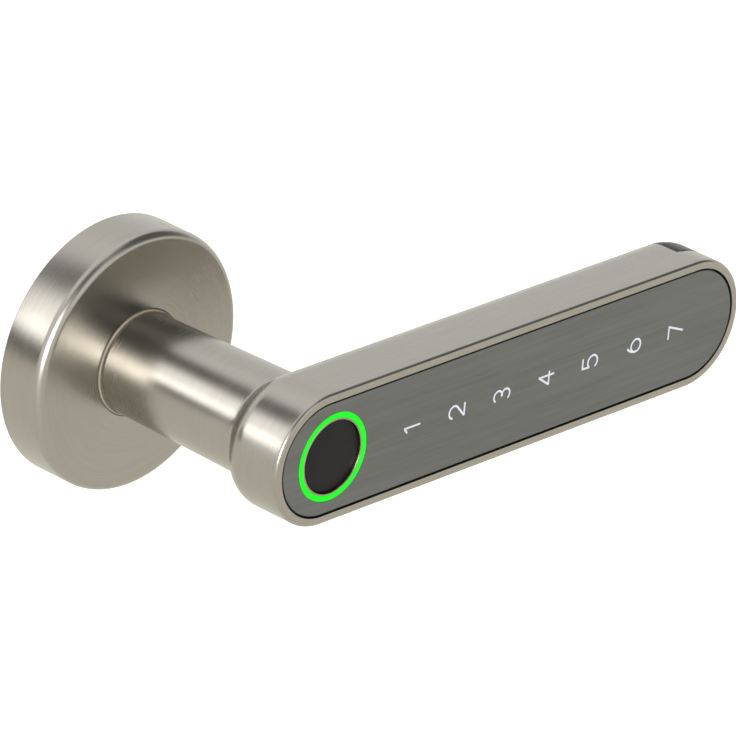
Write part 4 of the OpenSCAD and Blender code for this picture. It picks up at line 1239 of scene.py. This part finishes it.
rubber = moulded("seal rubber", (0.018, 0.018, 0.018), rough=0.7, depth=0.00002)
fit(from_cad("cap_seal", 0.1), "battery_cap", [rubber], ["cap_seal"])
plated_magnet = worked_metal("plated magnet", (0.60, 0.60, 0.60), (0.72, 0.72, 0.72), rough=0.14, broad=200.0)
for node, body in (("body_magnets", "lever"), ("cap_magnets", "battery_cap")):
    lo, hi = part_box(node)
    low, high = -hi.y / MM, -lo.y / MM
    magnet_side = rounded([(0, low, 0), (2, low, 0.2), (2, high, 0.2), (0, high, 0)], steps=4)
    magnet = lathe(node + "_pair", magnet_side, steps=48, centre=(magnet_x, -magnet_up))
    run_nodes(magnet, copies, Count=2, Step=(0, 0, 2 * magnet_up * MM), Finish=plated_magnet)
    fit(magnet, body, [], [node])


# ---- Motor and its holder ----
# A small geared motor in a drawn can sits in a white acetal sleeve that is pressed into the
# neck. Its two insulated leads, red and black, go up to the control board.

holder_white = moulded("natural acetal", (0.62, 0.62, 0.58), rough=0.36)
fit(from_cad("motor_holder", 0.12), "lever", [holder_white], ["motor_holder"])
motor_lo, motor_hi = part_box("motor")
motor_low, motor_high = -motor_hi.y / MM, -motor_lo.y / MM
can_steel = worked_metal("drawn can", (0.50, 0.50, 0.49), (0.62, 0.62, 0.60), rough=0.22)
can_r = 6
crimp_r = can_r - 0.2
crimp = motor_low + 7
can_end = motor_high - 0.8
motor = lathe("motor_can", rounded([
    (1.55, motor_low, 0.1), (can_r, motor_low, 0.4), (can_r, crimp, 0.1), (crimp_r, crimp + 0.1, 0.05),
    (crimp_r, crimp + 0.5, 0.05), (can_r, crimp + 0.6, 0.1), (can_r, can_end, 0.5), (4.6, can_end, 0.1),
    (4.4, can_end - 0.25, 0.1), (2.7, can_end - 0.25, 0.1), (2.5, can_end, 0.05), (2.5, motor_high, 0.25),
    (0, motor_high, 0), (0, motor_low + 3.3, 0), (1.55, motor_low + 3.3, 0)], steps=4), steps=96)
fit(motor, "lever", [can_steel], ["motor"])
wires_lo, wires_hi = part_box("motor_wires")
wire_low, wire_high = -wires_hi.y / MM, -wires_lo.y / MM
lead_finish = [moulded("lead red", (0.42, 0.025, 0.018), rough=0.4),
               moulded("lead black", (0.02, 0.02, 0.02), rough=0.4)]
leads = []
for number, side in enumerate((-1, 1)):
    route = []
    for i in range(25):
        t = i / 24
        sway = 2 * math.pi * t
        route.append((side * (1.15 + 0.05 * math.cos(sway)), side * 0.12 * math.sin(sway),
                      wire_low + (wire_high - wire_low) * t))
    lead = path_of("motor_wires_pair", route)
    run_nodes(lead, wire, Radius=0.5 * MM, Sides=20, Finish=lead_finish[number])
    for face in lead.data.polygons:
        face.material_index = number
    leads.append(lead)
leads[0].data.materials.clear()
for finish in lead_finish:
    leads[0].data.materials.append(finish)
fit(joined(leads), "lever", [], ["motor_wires"])


# ---- Clutch ----
# The motor's steel lead screw draws a brass slider along. Its two dogs enter the hardened
# steel hub, which has eight slots and the square socket for the lock's spindle.

screw_lo, screw_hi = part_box("lead_screw")
screw_low, screw_high = -screw_hi.y / MM, -screw_lo.y / MM
thread_top = screw_low + 10.4
thread = threaded(1.5, 0.25, 0.5, screw_low + 0.2, thread_top)
lead_screw = lathe("lead_screw_shaft", [(0, screw_low), (1.1, screw_low)] + thread + [
    (1.25, thread_top + 0.1), (1.5, thread_top + 0.35), (1.5, screw_high - 0.2), (1.3, screw_high),
    (0, screw_high)], steps=48)
fit(lead_screw, "lead_screw", [bright_steel], ["lead_screw"])
brass = worked_metal("machined brass", (0.55, 0.38, 0.14), (0.70, 0.51, 0.22), rough=0.26)
fit(from_cad("clutch_slider", 0.15), "clutch", [brass], ["clutch_slider"])
hardened = worked_metal("hardened steel", (0.24, 0.24, 0.25), (0.36, 0.36, 0.37), rough=0.33)
fit(from_cad("drive_hub", 0.2), "drive_hub", [hardened], ["drive_hub"])
